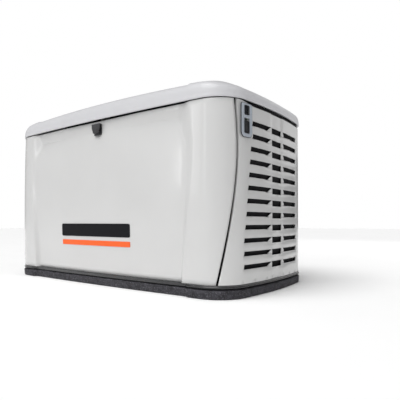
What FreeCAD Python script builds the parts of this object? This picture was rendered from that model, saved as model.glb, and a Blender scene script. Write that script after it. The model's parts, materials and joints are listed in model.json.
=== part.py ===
"""Home standby generator: an aluminium-panelled enclosure with a hinged lid, a V-twin engine
and an alternator on one shaft, controls, battery and fuel train.

Frame: millimetres, +Z up, X along the length, the service side (lock and badge) faces -Y.
The origin is on the ground, under the middle of the mounting pad.
"""
import FreeCAD, Part
import Sketcher
import math
import os
import re

from FreeCAD import Placement, Rotation, Vector

X_AXIS = Vector(1, 0, 0)
Y_AXIS = Vector(0, 1, 0)
Z_AXIS = Vector(0, 0, 1)

DIMENSIONS = {
    "enclosure": {
        "length": 1219, "depth": 638, "overall_height": 732,
        "corner_radius": 117, "front_bow": 12, "end_bow": 12,
        "recess_depth": 10, "recess_half": 434, "recess_slope": 34,
        "skin": 2, "panel_inset": 4, "panel_top": 621, "seam_level": 633, "seam_y": 238,
        "pad_height": 30, "pad_inset": 2, "groove_top": 34, "groove_inset": 12,
        "floor_top": 37, "pan_top": 45, "pan_inset": 3, "pan_rim": 10,
        "rear_joint_x": 468, "rear_joint_gap": 0.4, "hole_reach": 39, "screw_fit": 0.3,
        "anchor_span_x": 1000, "anchor_span_y": 440, "anchor_radius": 7,
        "pad_bolt_x": 250, "pad_bolt_y": 268, "pad_bolt_radius": 4, "pad_bolt_depth": 20,
        "washer_radius": 11, "washer_thickness": 1.6, "bolt_head_width": 15, "bolt_head_height": 5.5,
        "screw_radius": 2.4, "screw_depth": 8, "screw_level": 60,
        "screw_head_radius": 5.5, "screw_head_height": 2.6,
    },
    "louvres": {
        "louvre_rows": 12, "louvre_pitch": 42.4, "louvre_gap": 13, "louvre_top": 572,
        "louvre_middle_y": 37, "louvre_inner_y": 46, "louvre_outer_y": 186, "louvre_short_y": 164,
        "louvre_short_rows": 5,
    },
    "lid": {
        "lid_skirt": 36, "lid_skin": 2.5, "seal_width": 5, "seal_height": 12,
        "hinge_x": 300, "hinge_y": 304, "hinge_z": 643, "hinge_pin_radius": 4,
        "hinge_bore_radius": 4.06, "knuckle_radius": 8, "knuckle_length": 24, "hinge_pin_length": 70,
        "ear_thickness": 8, "ear_gap": 25, "hinge_notch": 84,
    },
    "window": {"window_x": 594.5, "window_y": -204.5, "window_turn": 7.5},
    "lock": {
        "lock_z": 592, "barrel_radius": 9, "barrel_bore": 9.06, "lock_case_radius": 15,
        "lock_case_length": 26, "cam_length": 34, "cam_width": 12, "cam_thickness": 3,
        "flap_width": 46, "flap_height": 34, "flap_thickness": 4.4, "flap_hinge_z": 616,
        "flap_pin_radius": 1.5, "flap_pin_bore": 1.56,
    },
    "shaft_line": {
        "crank_height": 232, "shaft_radius": 17, "shaft_left": -311, "shaft_right": 262,
        "rotor_radius": 78, "rotor_left": 60, "rotor_length": 150,
        "stator_bore": 82, "stator_radius": 118, "stator_left": 45, "stator_length": 180,
        "fan_radius": 112, "fan_left": -66, "fan_plate": 10, "fan_blade": 42, "fan_blades": 16,
        "carrier_left": 229, "carrier_thickness": 26, "carrier_radius": 122, "carrier_hub": 38,
        "journal_gap": 0.06,
    },
    "engine": {
        "case_left": -316, "case_length": 214, "case_width": 190, "case_bottom": 122,
        "case_height": 200, "case_wall": 14, "cylinder_length": 92, "cylinder_width": 104,
        "cylinder_core": 82, "cylinder_base": 96, "fin_count": 9, "fin_thickness": 4,
        "head_length": 36, "cover_length": 34, "cylinder_spread": 15, "bank_angle": 45,
        "tube_x": -124, "tube_reach": 17, "filter_radius": 38, "filter_length": 84,
        "starter_radius": 36, "starter_length": 150,
    },
    "services": {
        "battery_length": 206, "battery_width": 172, "battery_height": 178, "battery_x": 300,
        "battery_y": -264, "control_x": 232, "control_y": -296, "control_length": 300,
        "control_width": 190, "control_bottom": 430, "control_height": 160, "control_wall": 4,
        "button_radius": 8, "button_gap": 0.35, "button_pitch": 30,
        "muffler_radius": 72, "muffler_length": 380, "muffler_x": -506, "bulkhead_x": -412,
        "bulkhead_top": 612, "air_window_low": 250, "air_window_high": 430, "exhaust_port_y": 150,
        "exhaust_port_radius": 22, "exhaust_level": 150,
        "fuel_bore": 12, "fuel_nipple": 17, "fuel_x": 300, "fuel_z": 150,
        "conduit_radius": 17.25, "conduit_x": 430, "conduit_z": 120, "conduit_seat_y": 300.5,
        "conduit_boss_radius": 26, "conduit_boss_depth": 7,
    },
}

doc = FreeCAD.newDocument("standby_generator")
sheet = doc.addObject("Spreadsheet::Sheet", "Sheet")
nodes = []


# ---------------------------------------------------------------- document helpers

def fill_sheet():
    row = 1
    for group, values in DIMENSIONS.items():
        sheet.set("A%d" % row, group)
        row += 1
        for alias, value in values.items():
            sheet.set("A%d" % row, alias)
            sheet.set("B%d" % row, str(value))
            sheet.setAlias("B%d" % row, alias)
            row += 1
    doc.recompute()


def size(alias):
    return float(sheet.get(alias))


def linked(expression):
    """Point every word of an expression at its cell of the sheet."""
    return re.sub(r"[a-z][a-z_]*", lambda word: "Sheet." + word.group(), str(expression))


def bind(feature, **sizes):
    for name, expression in sizes.items():
        feature.setExpression(name, linked(expression))


def place(feature, at=("0", "0", "0"), turn=None):
    """Put a feature at a point given by expressions, turned by an optional rotation."""
    if turn is not None:
        feature.Placement = Placement(Vector(), turn)
    for axis, expression in zip("xyz", at):
        feature.setExpression("Placement.Base." + axis, linked(expression))
    return feature


def box(name, length, width, height, at):
    feature = doc.addObject("Part::Box", name)
    bind(feature, Length=length, Width=width, Height=height)
    return place(feature, at)


def cylinder(name, radius, height, at, turn=None):
    feature = doc.addObject("Part::Cylinder", name)
    bind(feature, Radius=radius, Height=height)
    return place(feature, at, turn)


ALONG_X = Rotation(Y_AXIS, 90)
ALONG_Y = Rotation(X_AXIS, -90)
ALONG_MINUS_Y = Rotation(X_AXIS, 90)


def cut(name, base, *tools):
    feature = doc.addObject("Part::Cut", name)
    feature.Base = base
    feature.Tool = tools[0] if len(tools) == 1 else fuse(name + "_tools", *tools)
    return feature


def fuse(name, *parts):
    feature = doc.addObject("Part::MultiFuse", name)
    feature.Shapes = list(parts)
    return feature


def upright(edge):
    """True for a straight edge that runs along Z."""
    if edge.Curve.TypeId != "Part::GeomLine":
        return False
    return abs(edge.tangentAt(edge.FirstParameter).z) > 0.999


def coded(name, shape):
    """A feature whose shape is worked out in code from the sheet's sizes."""
    feature = doc.addObject("Part::Feature", name)
    spot = Placement(shape.Placement)
    feature.Shape = shape
    feature.Placement = spot
    return feature


def node(label, feature):
    feature.Label = label
    nodes.append(feature)
    return feature


def one(shapes):
    """Join shapes into one shape."""
    return shapes[0].multiFuse(shapes[1:]).removeSplitter() if len(shapes) > 1 else shapes[0]


# ---------------------------------------------------------------- PartDesign helpers

def origin_plane(body, role):
    return next(item for item in body.Origin.OriginFeatures if item.Role == role)


def sketch_on(body, name, role="XY_Plane", lift="0"):
    sketch = body.newObject("Sketcher::SketchObject", name)
    sketch.AttachmentSupport = [(origin_plane(body, role), "")]
    sketch.MapMode = "FlatFace"
    sketch.setExpression("AttachmentOffset.Base.z", linked(lift))
    return sketch


def draw_rectangle(sketch, length, width):
    """A rectangle centred on the sketch's origin."""
    corners = [Vector(-9, -7, 0), Vector(9, -7, 0), Vector(9, 7, 0), Vector(-9, 7, 0)]
    first = sketch.GeometryCount
    for start, end in zip(corners, corners[1:] + corners[:1]):
        sketch.addGeometry(Part.LineSegment(start, end), False)
    for i in range(4):
        joined = first + (i + 1) % 4
        sketch.addConstraint(Sketcher.Constraint("Coincident", first + i, 2, joined, 1))
        flat = "Horizontal" if i % 2 == 0 else "Vertical"
        sketch.addConstraint(Sketcher.Constraint(flat, first + i))
    sketch.addConstraint(Sketcher.Constraint("Symmetric", first, 1, first + 1, 2, -1, 1))
    for edge, kind, expression in ((first, "DistanceX", length), (first + 1, "DistanceY", width)):
        index = sketch.addConstraint(Sketcher.Constraint(kind, edge, 1, edge, 2, 10.0))
        sketch.setExpression("Constraints[%d]" % index, linked(expression))


def draw_circle(sketch, radius, x="0", y="0"):
    index = sketch.addGeometry(Part.Circle(Vector(5, 5, 0), Z_AXIS, 2), False)
    held = (("Radius", (index,), radius),
            ("DistanceX", (-1, 1, index, 3), x),
            ("DistanceY", (-1, 1, index, 3), y))
    for kind, where, expression in held:
        constraint = sketch.addConstraint(Sketcher.Constraint(kind, *where, 1.0))
        sketch.setExpression("Constraints[%d]" % constraint, linked(expression))


def padded(body, name, sketch, length):
    pad = body.newObject("PartDesign::Pad", name)
    pad.Profile = sketch
    bind(pad, Length=length)
    sketch.Visibility = False
    return pad


def pocketed(body, name, sketch, depth):
    """A pocket cut downwards from the sketch's plane."""
    pocket = body.newObject("PartDesign::Pocket", name)
    pocket.Profile = sketch
    bind(pocket, Length=depth)
    return pocket


def patterned(body, name, feature, count, axis):
    doc.recompute()
    pattern = body.newObject("PartDesign::PolarPattern", name)
    pattern.Originals = [feature]
    pattern.Axis = (axis, ["N_Axis"])
    pattern.Angle = 360
    bind(pattern, Occurrences=count)
    body.Tip = pattern
    return pattern


def design_body(name):
    return doc.addObject("PartDesign::Body", name)


# ---------------------------------------------------------------- enclosure outline

class Outline:
    """Plan outline of the enclosure, stepped in from its widest line.

    The front and rear are long shallow arcs, the ends are arcs too, and the four corners are
    round. With a recess, the middle of the front steps in between two pillars.
    """

    def __init__(self, inset, recess=0.0):
        self.half_length = size("length") / 2 - inset
        self.half_depth = size("depth") / 2 - inset
        self.radius = max(size("corner_radius") - inset, 12.0)
        self.front_bow = size("front_bow")
        self.end_bow = size("end_bow")
        self.corner_x = self.half_length - self.end_bow - self.radius
        self.corner_y = self.half_depth - self.front_bow - self.radius
        self.recess = recess

    def long_side(self, x):
        """Distance of the front or rear from the middle plane."""
        return self.half_depth - self.front_bow * (x / self.corner_x) ** 2

    def long_arc(self, x_from, x_to, side, step=0.0):
        points = []
        for x in (x_from, (x_from + x_to) / 2, x_to):
            points.append(Vector(x, side * (self.long_side(x) - step), 0))
        return Part.Arc(*points).toShape()

    def corner(self, x_side, y_side, backwards):
        centre = Vector(x_side * self.corner_x, y_side * self.corner_y, 0)
        points = []
        for angle in (0, 45, 90):
            turn = math.radians(angle)
            reach = Vector(x_side * math.cos(turn), y_side * math.sin(turn), 0)
            points.append(centre + reach * self.radius)
        if backwards:
            points.reverse()
        return Part.Arc(*points).toShape()

    def end(self, x_side, upwards):
        tip = self.corner_x + self.radius
        direction = 1 if upwards else -1
        return Part.Arc(Vector(x_side * tip, -direction * self.corner_y, 0),
                        Vector(x_side * (tip + self.end_bow), 0, 0),
                        Vector(x_side * tip, direction * self.corner_y, 0)).toShape()

    def front(self):
        if not self.recess:
            return [self.long_arc(-self.corner_x, self.corner_x, -1)]
        outer = size("recess_half") + size("recess_slope") / 2
        inner = size("recess_half") - size("recess_slope") / 2
        left = self.long_arc(-self.corner_x, -outer, -1)
        middle = self.long_arc(-inner, inner, -1, self.recess)
        right = self.long_arc(outer, self.corner_x, -1)
        bridges = []
        for first, second in ((left, middle), (middle, right)):
            bridges.append(Part.makeLine(first.Vertexes[-1].Point, second.Vertexes[0].Point))
        return [left, bridges[0], middle, bridges[1], right]

    def wire(self, level):
        edges = self.front()
        edges.append(self.corner(1, -1, True))
        edges.append(self.end(1, True))
        edges.append(self.corner(1, 1, False))
        edges.append(self.long_arc(self.corner_x, -self.corner_x, 1))
        edges.append(self.corner(-1, 1, True))
        edges.append(self.end(-1, False))
        edges.append(self.corner(-1, -1, False))
        wire = Part.Wire(Part.__sortEdges__(edges))
        wire.translate(Vector(0, 0, level))
        return wire


def slab(inset, low, high, recess=0.0):
    """A solid of the enclosure's outline between two levels."""
    face = Part.Face(Outline(inset, recess).wire(low))
    return face.extrude(Vector(0, 0, high - low))


def block(x, y, z):
    """A solid box between pairs of coordinates."""
    low = Vector(min(x), min(y), min(z))
    return Part.makeBox(abs(x[1] - x[0]), abs(y[1] - y[0]), abs(z[1] - z[0]), low)


def rod(radius, length, start, axis):
    return Part.makeCylinder(radius, length, start, axis)


# ---------------------------------------------------------------- pad and pan

def four_corners(x_span, y_span):
    return [(x * x_span, y * y_span) for x in (-1, 1) for y in (-1, 1)]


def anchor_holes(low, high):
    spots = four_corners(size("anchor_span_x") / 2, size("anchor_span_y") / 2)
    return [rod(size("anchor_radius"), high - low, Vector(x, y, low), Z_AXIS) for x, y in spots]


def pad_bolt_holes(low, high, extra):
    spots = four_corners(size("pad_bolt_x"), size("pad_bolt_y"))
    radius = size("pad_bolt_radius") + extra
    return [rod(radius, high - low, Vector(x, y, low), Z_AXIS) for x, y in spots]


def mounting_pad():
    top = size("pad_height")
    pad = slab(size("pad_inset"), 0, top, size("recess_depth"))
    holes = anchor_holes(0, top) + pad_bolt_holes(top - size("pad_bolt_depth"), top, 0.2)
    node("mounting_pad", coded("mounting_pad", pad.cut(holes)))


def base_pan():
    top, floor, groove = size("pan_top"), size("floor_top"), size("groove_top")
    low = size("pad_height")
    recess = size("recess_depth")
    foot = slab(size("groove_inset"), low, groove, recess)
    rim = slab(size("pan_inset"), groove, top, recess)
    hollow = slab(size("pan_inset") + size("pan_rim"), floor, top, recess)
    holes = anchor_holes(low, floor) + pad_bolt_holes(low, floor, 0.2)
    node("base_pan", coded("base_pan", foot.fuse(rim).removeSplitter().cut([hollow] + holes)))


def hexagon_head(across, height, centre):
    corners = []
    for i in range(7):
        turn = math.radians(60 * i)
        corners.append(centre + Vector(math.cos(turn), math.sin(turn), 0) * across / 2)
    return Part.Face(Part.makePolygon(corners)).extrude(Vector(0, 0, height))


def pad_bolts():
    low = size("pad_height") - size("pad_bolt_depth")
    floor = size("floor_top")
    bolts = []
    for x, y in four_corners(size("pad_bolt_x"), size("pad_bolt_y")):
        shank = rod(size("pad_bolt_radius"), floor - low, Vector(x, y, low), Z_AXIS)
        washer = rod(size("washer_radius"), size("washer_thickness"), Vector(x, y, floor), Z_AXIS)
        seat = Vector(x, y, floor + size("washer_thickness"))
        head = hexagon_head(size("bolt_head_width"), size("bolt_head_height"), seat)
        bolts.append(one([shank, washer, head]))
    node("pad_bolts", coded("pad_bolts", Part.makeCompound(bolts)))


# ---------------------------------------------------------------- side panels

def wall(low, high):
    inset = size("panel_inset")
    recess = size("recess_depth")
    outer = slab(inset, low, high, recess)
    return outer.cut(slab(inset + size("skin"), low - 1, high + 1, recess))


def louvre_slots(x_side):
    """Air slots of an end panel: a middle column and a longer one on either side of it."""
    slots = []
    reach = (x_side * (size("length") / 2 - 40), x_side * size("length") / 2)
    for row in range(int(size("louvre_rows"))):
        top = size("louvre_top") - row * size("louvre_pitch")
        levels = (top - size("louvre_gap"), top)
        middle = size("louvre_middle_y")
        slots.append(block(reach, (-middle, middle), levels))
        for y_side in (-1, 1):
            short = row < size("louvre_short_rows")
            outer = size("louvre_short_y") if short else size("louvre_outer_y")
            slots.append(block(reach, (y_side * size("louvre_inner_y"), y_side * outer), levels))
    return slots


def panels():
    """Four sheet panels cut from one wall: front and rear wrap the corners, ends have louvres."""
    shell = wall(size("pan_top"), size("panel_top"))
    far = size("length")
    seam = size("seam_y")
    levels = (0, size("overall_height"))
    front = shell.common(block((-far, far), (-far, -seam - 0.5), levels))
    lock_hole = rod(size("lock_case_radius") + 0.3, 40, Vector(0, -size("depth") / 2 - 10, size("lock_z")),
                    Y_AXIS)
    node("front_panel", coded("front_panel", front.cut(lock_hole)))
    rear_panels(shell.common(block((-far, far), (seam + 0.5, far), levels)))
    for label, x_side in (("intake_panel", 1), ("exhaust_panel", -1)):
        side = shell.common(block((0, x_side * far), (-seam, seam), levels))
        side = side.cut(louvre_slots(x_side))
        if x_side > 0:
            side = side.cut(window_opening())
        node(label, coded(label, side))


def rear_panels(wrap):
    """The rear wall as a shallow panel with its pipe and conduit holes, and two round corners."""
    far, high = size("length"), size("overall_height")
    edge, joint = size("rear_joint_x"), size("rear_joint_gap")
    middle = wrap.common(block((-edge, edge), (0, far), (0, high)))
    middle = middle.fuse(conduit_boss()).removeSplitter().cut(rear_holes())
    node("rear_panel", coded("rear_panel", middle))
    for label, x_side in (("rear_corner_left", -1), ("rear_corner_right", 1)):
        corner = wrap.common(block((x_side * (edge + joint), x_side * far), (0, far), (0, high)))
        node(label, coded(label, corner))


def conduit_boss():
    """Flat round boss on the curved rear panel, so that the conduit's nut seats square."""
    start = Vector(size("conduit_x"), size("conduit_seat_y"), size("conduit_z"))
    return rod(size("conduit_boss_radius"), size("conduit_boss_depth"), start, Y_AXIS)


def rear_holes():
    depth = size("depth") / 2
    reach = 2 * size("hole_reach")
    fuel_at = Vector(size("fuel_x"), depth - size("hole_reach"), size("fuel_z"))
    conduit_at = Vector(size("conduit_x"), depth - size("hole_reach"), size("conduit_z"))
    fuel = rod(size("fuel_nipple") + size("screw_fit"), reach, fuel_at, Y_AXIS)
    conduit = rod(size("conduit_radius"), reach, conduit_at, Y_AXIS)
    return [fuel, conduit] + screw_shanks(0.1)


def screw_spots():
    """Places of the screws along the rear panel's lower edge."""
    return [(x, size("screw_level")) for x in (-440, -150, 150)]


def screw_shanks(extra):
    outline = Outline(size("panel_inset"))
    shanks = []
    for x, z in screw_spots():
        length = size("skin") + size("screw_depth")
        start = Vector(x, outline.long_side(x) - length, z)
        shanks.append(rod(size("screw_radius") + extra, length + 20 * extra, start, Y_AXIS))
    return shanks


def panel_screws():
    outline = Outline(size("panel_inset"))
    screws = []
    for (x, z), shank in zip(screw_spots(), screw_shanks(0)):
        y = outline.long_side(x)
        wide = size("screw_head_radius")
        head = Part.makeCone(wide, wide - 2, size("screw_head_height"), Vector(x, y + 0.35, z), Y_AXIS)
        collar = rod(size("screw_radius"), 0.8, Vector(x, y - 0.2, z), Y_AXIS)
        screws.append(one([shank, collar, head]))
    node("panel_screws", coded("panel_screws", Part.makeCompound(screws)))


def exhaust_bulkhead():
    """Sheet wall between the engine and the exhaust compartment, with a large air window."""
    x = size("bulkhead_x")
    inset = size("panel_inset") + size("skin") + 0.5
    floor = size("floor_top")
    top = size("bulkhead_top")
    skin = size("skin")
    port_y = size("exhaust_port_y")
    inside = slab(inset + 9, floor, top, size("recess_depth"))
    sheet_wall = block((x, x + skin), (-size("depth"), size("depth")), (floor, top)).common(inside)
    window = block((x - 5, x + 7), (-port_y, port_y), (size("air_window_low"), size("air_window_high")))
    port_holes = []
    for y in (-port_y, port_y):
        start = Vector(x - 10, y, size("exhaust_level"))
        port_holes.append(rod(size("exhaust_port_radius"), 20, start, X_AXIS))
    flange = block((x + skin, x + skin + 20), (-240, 240), (floor, floor + skin))
    plate = sheet_wall.cut([window] + port_holes)
    node("exhaust_bulkhead", coded("exhaust_bulkhead", one([plate, flange])))


# ---------------------------------------------------------------- lid

LID_PROFILE = ((0.0, 0.0), (0.55, 1.5), (0.78, 7.0), (1.0, 24.0))


def lid_levels():
    """Insets and levels of the lid's sections, from the lower edge to the crown."""
    base = size("seam_level")
    crown = size("overall_height")
    shoulder = base + size("lid_skirt") + 16
    levels = []
    for share, inset in LID_PROFILE:
        levels.append((inset, base + share * (shoulder - base)))
    edge_inset = LID_PROFILE[-1][1]
    middle = size("depth") / 2 - 30
    for i in range(1, 7):
        share = i / 6
        inset = edge_inset + (middle - edge_inset) * share
        levels.append((inset, shoulder + (crown - shoulder) * (1 - (1 - share) ** 2)))
    return levels


def dome(extra, drop):
    """Solid under the lid's surface, shrunk by a thickness."""
    levels = lid_levels()
    wires = []
    for inset, level in levels:
        lowest = level == levels[0][1]
        wires.append(Outline(inset + extra).wire(level - (1.0 if lowest and drop else drop)))
    return Part.makeLoft(wires, True, True)


def hinge_spots():
    return [-size("hinge_x"), size("hinge_x")]


def lid_shell():
    skin = size("lid_skin")
    shell = dome(0, 0).cut(dome(skin, skin))
    half = size("hinge_notch") / 2
    base = size("seam_level")
    notches = [block((x - half, x + half), (290, 330), (base - 2, base + 34)) for x in hinge_spots()]
    node("lid_shell", coded("lid_shell", shell.cut(notches)))


def lid_seal():
    """Foam strip inside the front and ends of the lid's skirt."""
    inset = size("lid_skin") + 1.6
    low = size("seam_level") + 4
    high = low + size("seal_height")
    ring = slab(inset, low, high).cut(slab(inset + size("seal_width"), low - 1, high + 1))
    node("lid_seal", coded("lid_seal", ring.common(block((-700, 700), (-400, 180), (0, 900)))))


def hinge_brackets():
    """Pairs of ears on the rear panel that carry the hinge pins."""
    y, z = size("hinge_y"), size("hinge_z")
    pieces = []
    for x in hinge_spots():
        back = Outline(size("panel_inset")).long_side(abs(x) + 34) - size("skin")
        plate = block((x - 34, x + 34), (back - 3, back - 0.2), (560, 619))
        shapes = [plate]
        for side in (-1, 1):
            inner = x + side * size("ear_gap") / 2
            outer = inner + side * size("ear_thickness")
            shapes.append(block((inner, outer), (y - 7, back - 0.2), (580, 619)))
            shapes.append(block((inner, outer), (y - 7, back - 0.2), (600, z)))
            start = Vector(min(inner, outer), y, z)
            shapes.append(rod(7, size("ear_thickness"), start, X_AXIS))
        bore = rod(size("hinge_pin_radius"), 80, Vector(x - 40, y, z), X_AXIS)
        pieces.append(one(shapes).cut(bore))
    node("hinge_brackets", coded("hinge_brackets", Part.makeCompound(pieces)))


def hinge_pins():
    pins = []
    for index, x in enumerate(("-hinge_x", "hinge_x")):
        at = (x + " - hinge_pin_length / 2 + 8", "hinge_y", "hinge_z")
        length = "hinge_pin_length - 16"
        pins.append(cylinder("hinge_pin_%d" % index, "hinge_pin_radius", length, at, ALONG_X))
    node("hinge_pins", fuse("hinge_pins", *pins))


def hinge_straps():
    """Knuckles on the pins, each with a strap up to the underside of the lid."""
    y, z = size("hinge_y"), size("hinge_z")
    half = size("knuckle_length") / 2
    roof = dome(size("lid_skin") + 0.2, size("lid_skin") + 0.2)
    straps = []
    for x in hinge_spots():
        knuckle = rod(size("knuckle_radius"), 2 * half, Vector(x - half, y, z), X_AXIS)
        web = block((x - half, x + half), (y - 12, y), (z, z + 20))
        arm = block((x - half, x + half), (y - 90, y - 6), (z + 12, z + 60)).common(roof)
        under = dome(size("lid_skin") + 3.2, size("lid_skin") + 3.2)
        arm = arm.cut(under)
        riser = block((x - half, x + half), (y - 14, y - 8), (z + 4, z + 60)).common(roof)
        bore = rod(size("hinge_bore_radius"), 4 * half, Vector(x - 2 * half, y, z), X_AXIS)
        straps.append(one([knuckle, web, riser, arm]).cut(bore))
    node("hinge_straps", coded("hinge_straps", Part.makeCompound(straps)))


def lid_striker():
    """Plate under the front of the lid with a side lip that the lock's cam turns over."""
    y = -size("depth") / 2 + 56
    z = size("lock_z")
    roof = dome(size("lid_skin") + 0.2, size("lid_skin") + 0.2)
    lip_top = z - size("cam_width") / 2 - 3
    upper = block((-36, 16), (y, y + 3), (640, 720)).common(roof)
    lower = block((-36, -17), (y, y + 3), (lip_top - 3, 641))
    lip = block((-34, -17), (y - 19, y), (lip_top - 3, lip_top))
    foot = block((-36, 16), (y, y + 26), (660, 720)).common(roof)
    foot = foot.cut(dome(size("lid_skin") + 3.2, size("lid_skin") + 3.2))
    node("lid_striker", coded("lid_striker", one([upper, lower, lip, foot])))


# ---------------------------------------------------------------- lock

def panel_face_y():
    """Outer face of the recessed front panel in the middle."""
    return -(size("depth") / 2 - size("panel_inset") - size("recess_depth"))


def lock_body():
    """Lock case through the front panel, its face plate and the two ears of the flap's pin."""
    face = panel_face_y()
    z = size("lock_z")
    pin_z = size("flap_hinge_z")
    case = rod(size("lock_case_radius"), size("lock_case_length"), Vector(0, face - 1, z), Y_AXIS)
    flange = block((-20, 20), (face - 3.2, face - 0.2), (z - 16, pin_z + 2.6))
    bore = rod(size("barrel_bore"), 60, Vector(0, face - 10, z), Y_AXIS)
    ears = []
    for side in (-1, 1):
        ear = block((side * 14, side * 19), (face - 8.4, face - 3.2), (pin_z - 2.6, pin_z + 2.6))
        ears.append(ear)
    pin = rod(size("flap_pin_radius"), 38, Vector(-19, face - 6, pin_z), X_AXIS)
    node("lock_body", coded("lock_body", one([case.fuse(flange).cut(bore)] + ears + [pin])))


def lock_barrel():
    """Key barrel with the cam on its inner end, which points up when unlocked."""
    face = panel_face_y()
    z = size("lock_z")
    barrel = rod(size("barrel_radius"), size("lock_case_length") + 1.5, Vector(0, face - 1.5, z), Y_AXIS)
    keyway = block((-1, 1), (face - 3, face + 6), (z - 5, z + 5))
    back = face - 1.5 + size("lock_case_length") + 1.5
    half = size("cam_width") / 2
    cam = block((-half, half), (back, back + size("cam_thickness")), (z - half, z + size("cam_length")))
    nut = hexagon_cap(8, 4, Vector(0, back + size("cam_thickness"), z))
    node("lock_barrel", coded("lock_barrel", one([barrel.cut(keyway), cam, nut])))


def hexagon_cap(radius, height, centre):
    """A hexagonal prism that points along Y."""
    corners = []
    for i in range(7):
        turn = math.radians(60 * i)
        corners.append(centre + Vector(math.cos(turn), 0, math.sin(turn)) * radius)
    return Part.Face(Part.makePolygon(corners)).extrude(Vector(0, height, 0))


def lock_flap():
    """Shield-shaped rubber flap that hangs from a pin over the keyhole."""
    face = panel_face_y()
    top = size("flap_hinge_z")
    half = size("flap_width") / 2
    low = top - size("flap_height")
    outline = [(-half, top + 2), (half, top + 2), (half - 1, top - 14), (half - 10, low),
               (-half + 10, low), (-half + 1, top - 14), (-half, top + 2)]
    y = face - 14
    corners = [Vector(x, y, z) for x, z in outline]
    shield = Part.Face(Part.makePolygon(corners)).extrude(Vector(0, size("flap_thickness"), 0))
    knuckle = rod(2.6, 26, Vector(-13, face - 6, top), X_AXIS)
    link = block((-13, 13), (face - 10, face - 6), (top - 2, top + 1.6))
    bore = rod(size("flap_pin_bore"), 60, Vector(-30, face - 6, top), X_AXIS)
    node("lock_flap", coded("lock_flap", one([shield, knuckle, link]).cut(bore)))


# ---------------------------------------------------------------- status window and stop switch

def at_window(shape):
    """Take a shape from the window's own upright frame to its place on the end panel.

    In its own frame the window's outer face is at x 603 and its middle at y -186.
    """
    pivot = Vector(597, -186, 0)
    shape.rotate(pivot, Z_AXIS, -size("window_turn"))
    shape.translate(Vector(size("window_x") - pivot.x, size("window_y") - pivot.y, 0))
    return shape


def window_opening():
    return at_window(block((570, 620), (-204, -168), (519, 618)))


def rounded_plate(x, y, z, radius):
    plate = block(x, y, z)
    edges = [edge for edge in plate.Edges if abs(edge.tangentAt(0).x) > 0.9]
    return plate.makeFillet(radius, edges)


def window_bezel():
    """Moulded frame on the end panel round the status lens and the stop switch's cover."""
    plate = at_window(rounded_plate((585, 602), (-213, -159), (510, 620), 10))
    skin_part = plate.cut(slab(size("panel_inset") - 0.3, 400, 640, size("recess_depth")))
    collar = at_window(rounded_plate((582, 598), (-203.5, -168.5), (519.5, 617.5), 6))
    lens_hole = at_window(rounded_plate((560, 630), (-200, -173), (583, 614), 5))
    switch_hole = at_window(rounded_plate((560, 630), (-201, -171), (524, 570), 5))
    bezel = one([skin_part, collar]).cut([lens_hole, switch_hole])
    node("window_bezel", coded("window_bezel", bezel))


def status_lens():
    lens = rounded_plate((594, 599), (-199.8, -173.2), (583.2, 613.8), 5)
    node("status_lens", coded("status_lens", at_window(lens)))


def status_leds():
    """Three indicator lamps on their board behind the lens."""
    shapes = [block((581.5, 584.5), (-196, -177), (586, 611))]
    for z in (590.5, 598.5, 606.5):
        shapes.append(rod(0.8, 2.2, Vector(584.4, -186.5, z), X_AXIS))
        shapes.append(rod(2.5, 4, Vector(586.5, -186.5, z), X_AXIS))
        shapes.append(Part.makeSphere(2.5, Vector(590.5, -186.5, z)))
    node("status_leds", coded("status_leds", at_window(one(shapes))))


def switch_pivot():
    return Vector(576, -201, 546)


def shutdown_switch():
    """Switch case behind the cover, open in front for the rocker."""
    case = block((556, 581.5), (-199, -173), (528, 564))
    hollow = block((562, 600), (-196, -176), (533, 559))
    pin = rod(1.5, 26, switch_pivot() + Vector(0, 2, 0), Y_AXIS)
    node("shutdown_switch", coded("shutdown_switch", at_window(case.cut(hollow).fuse(pin))))


def shutdown_rocker():
    """Rocker on the switch's pin, stored with its upper half pressed in."""
    pivot = switch_pivot()
    body = block((572, 587), (-195, -177), (536, 556))
    groove = rod(20, 30, pivot + Vector(29, 0, 0), Y_AXIS)
    bore = rod(1.56, 30, pivot, Y_AXIS)
    rocker = body.cut([groove, bore])
    rocker.rotate(pivot, Y_AXIS, -8)
    node("shutdown_rocker", coded("shutdown_rocker", at_window(rocker)))


def shutdown_cover():
    """Small hinged cover over the stop switch, with its knuckle along the top edge."""
    cover = rounded_plate((597.6, 601), (-200, -172), (525, 565), 5)
    knuckle = rod(1.5, 18, Vector(599.5, -195, 564.5), Y_AXIS)
    node("shutdown_cover", coded("shutdown_cover", at_window(one([cover, knuckle]))))


# ---------------------------------------------------------------- crank line

def axis_point(x):
    return Vector(x, 0, size("crank_height"))


def crankshaft():
    length = "shaft_right - shaft_left"
    start = ("shaft_left", "0", "crank_height")
    node("crankshaft", cylinder("crankshaft", "shaft_radius", length, start, ALONG_X))


def flywheel_fan():
    """Flywheel disc with radial cooling blades on its engine side."""
    body = design_body("flywheel_fan")
    disc = sketch_on(body, "fan_disc_sketch")
    draw_circle(disc, "fan_radius")
    draw_circle(disc, "shaft_radius")
    padded(body, "fan_disc", disc, "fan_plate")
    hub = sketch_on(body, "fan_hub_sketch")
    draw_circle(hub, "shaft_radius + 16")
    draw_circle(hub, "shaft_radius")
    padded(body, "fan_hub", hub, "fan_plate + fan_blade")
    blade = sketch_on(body, "fan_blade_sketch")
    draw_blade(blade)
    pad = padded(body, "fan_blade_pad", blade, "fan_plate + fan_blade")
    patterned(body, "fan_blade_ring", pad, "fan_blades", hub)
    body.Placement = Placement(Vector(), ALONG_X)
    for axis, expression in (("x", "fan_left"), ("z", "crank_height")):
        body.setExpression("Placement.Base." + axis, linked(expression))
    node("flywheel_fan", body)


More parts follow.
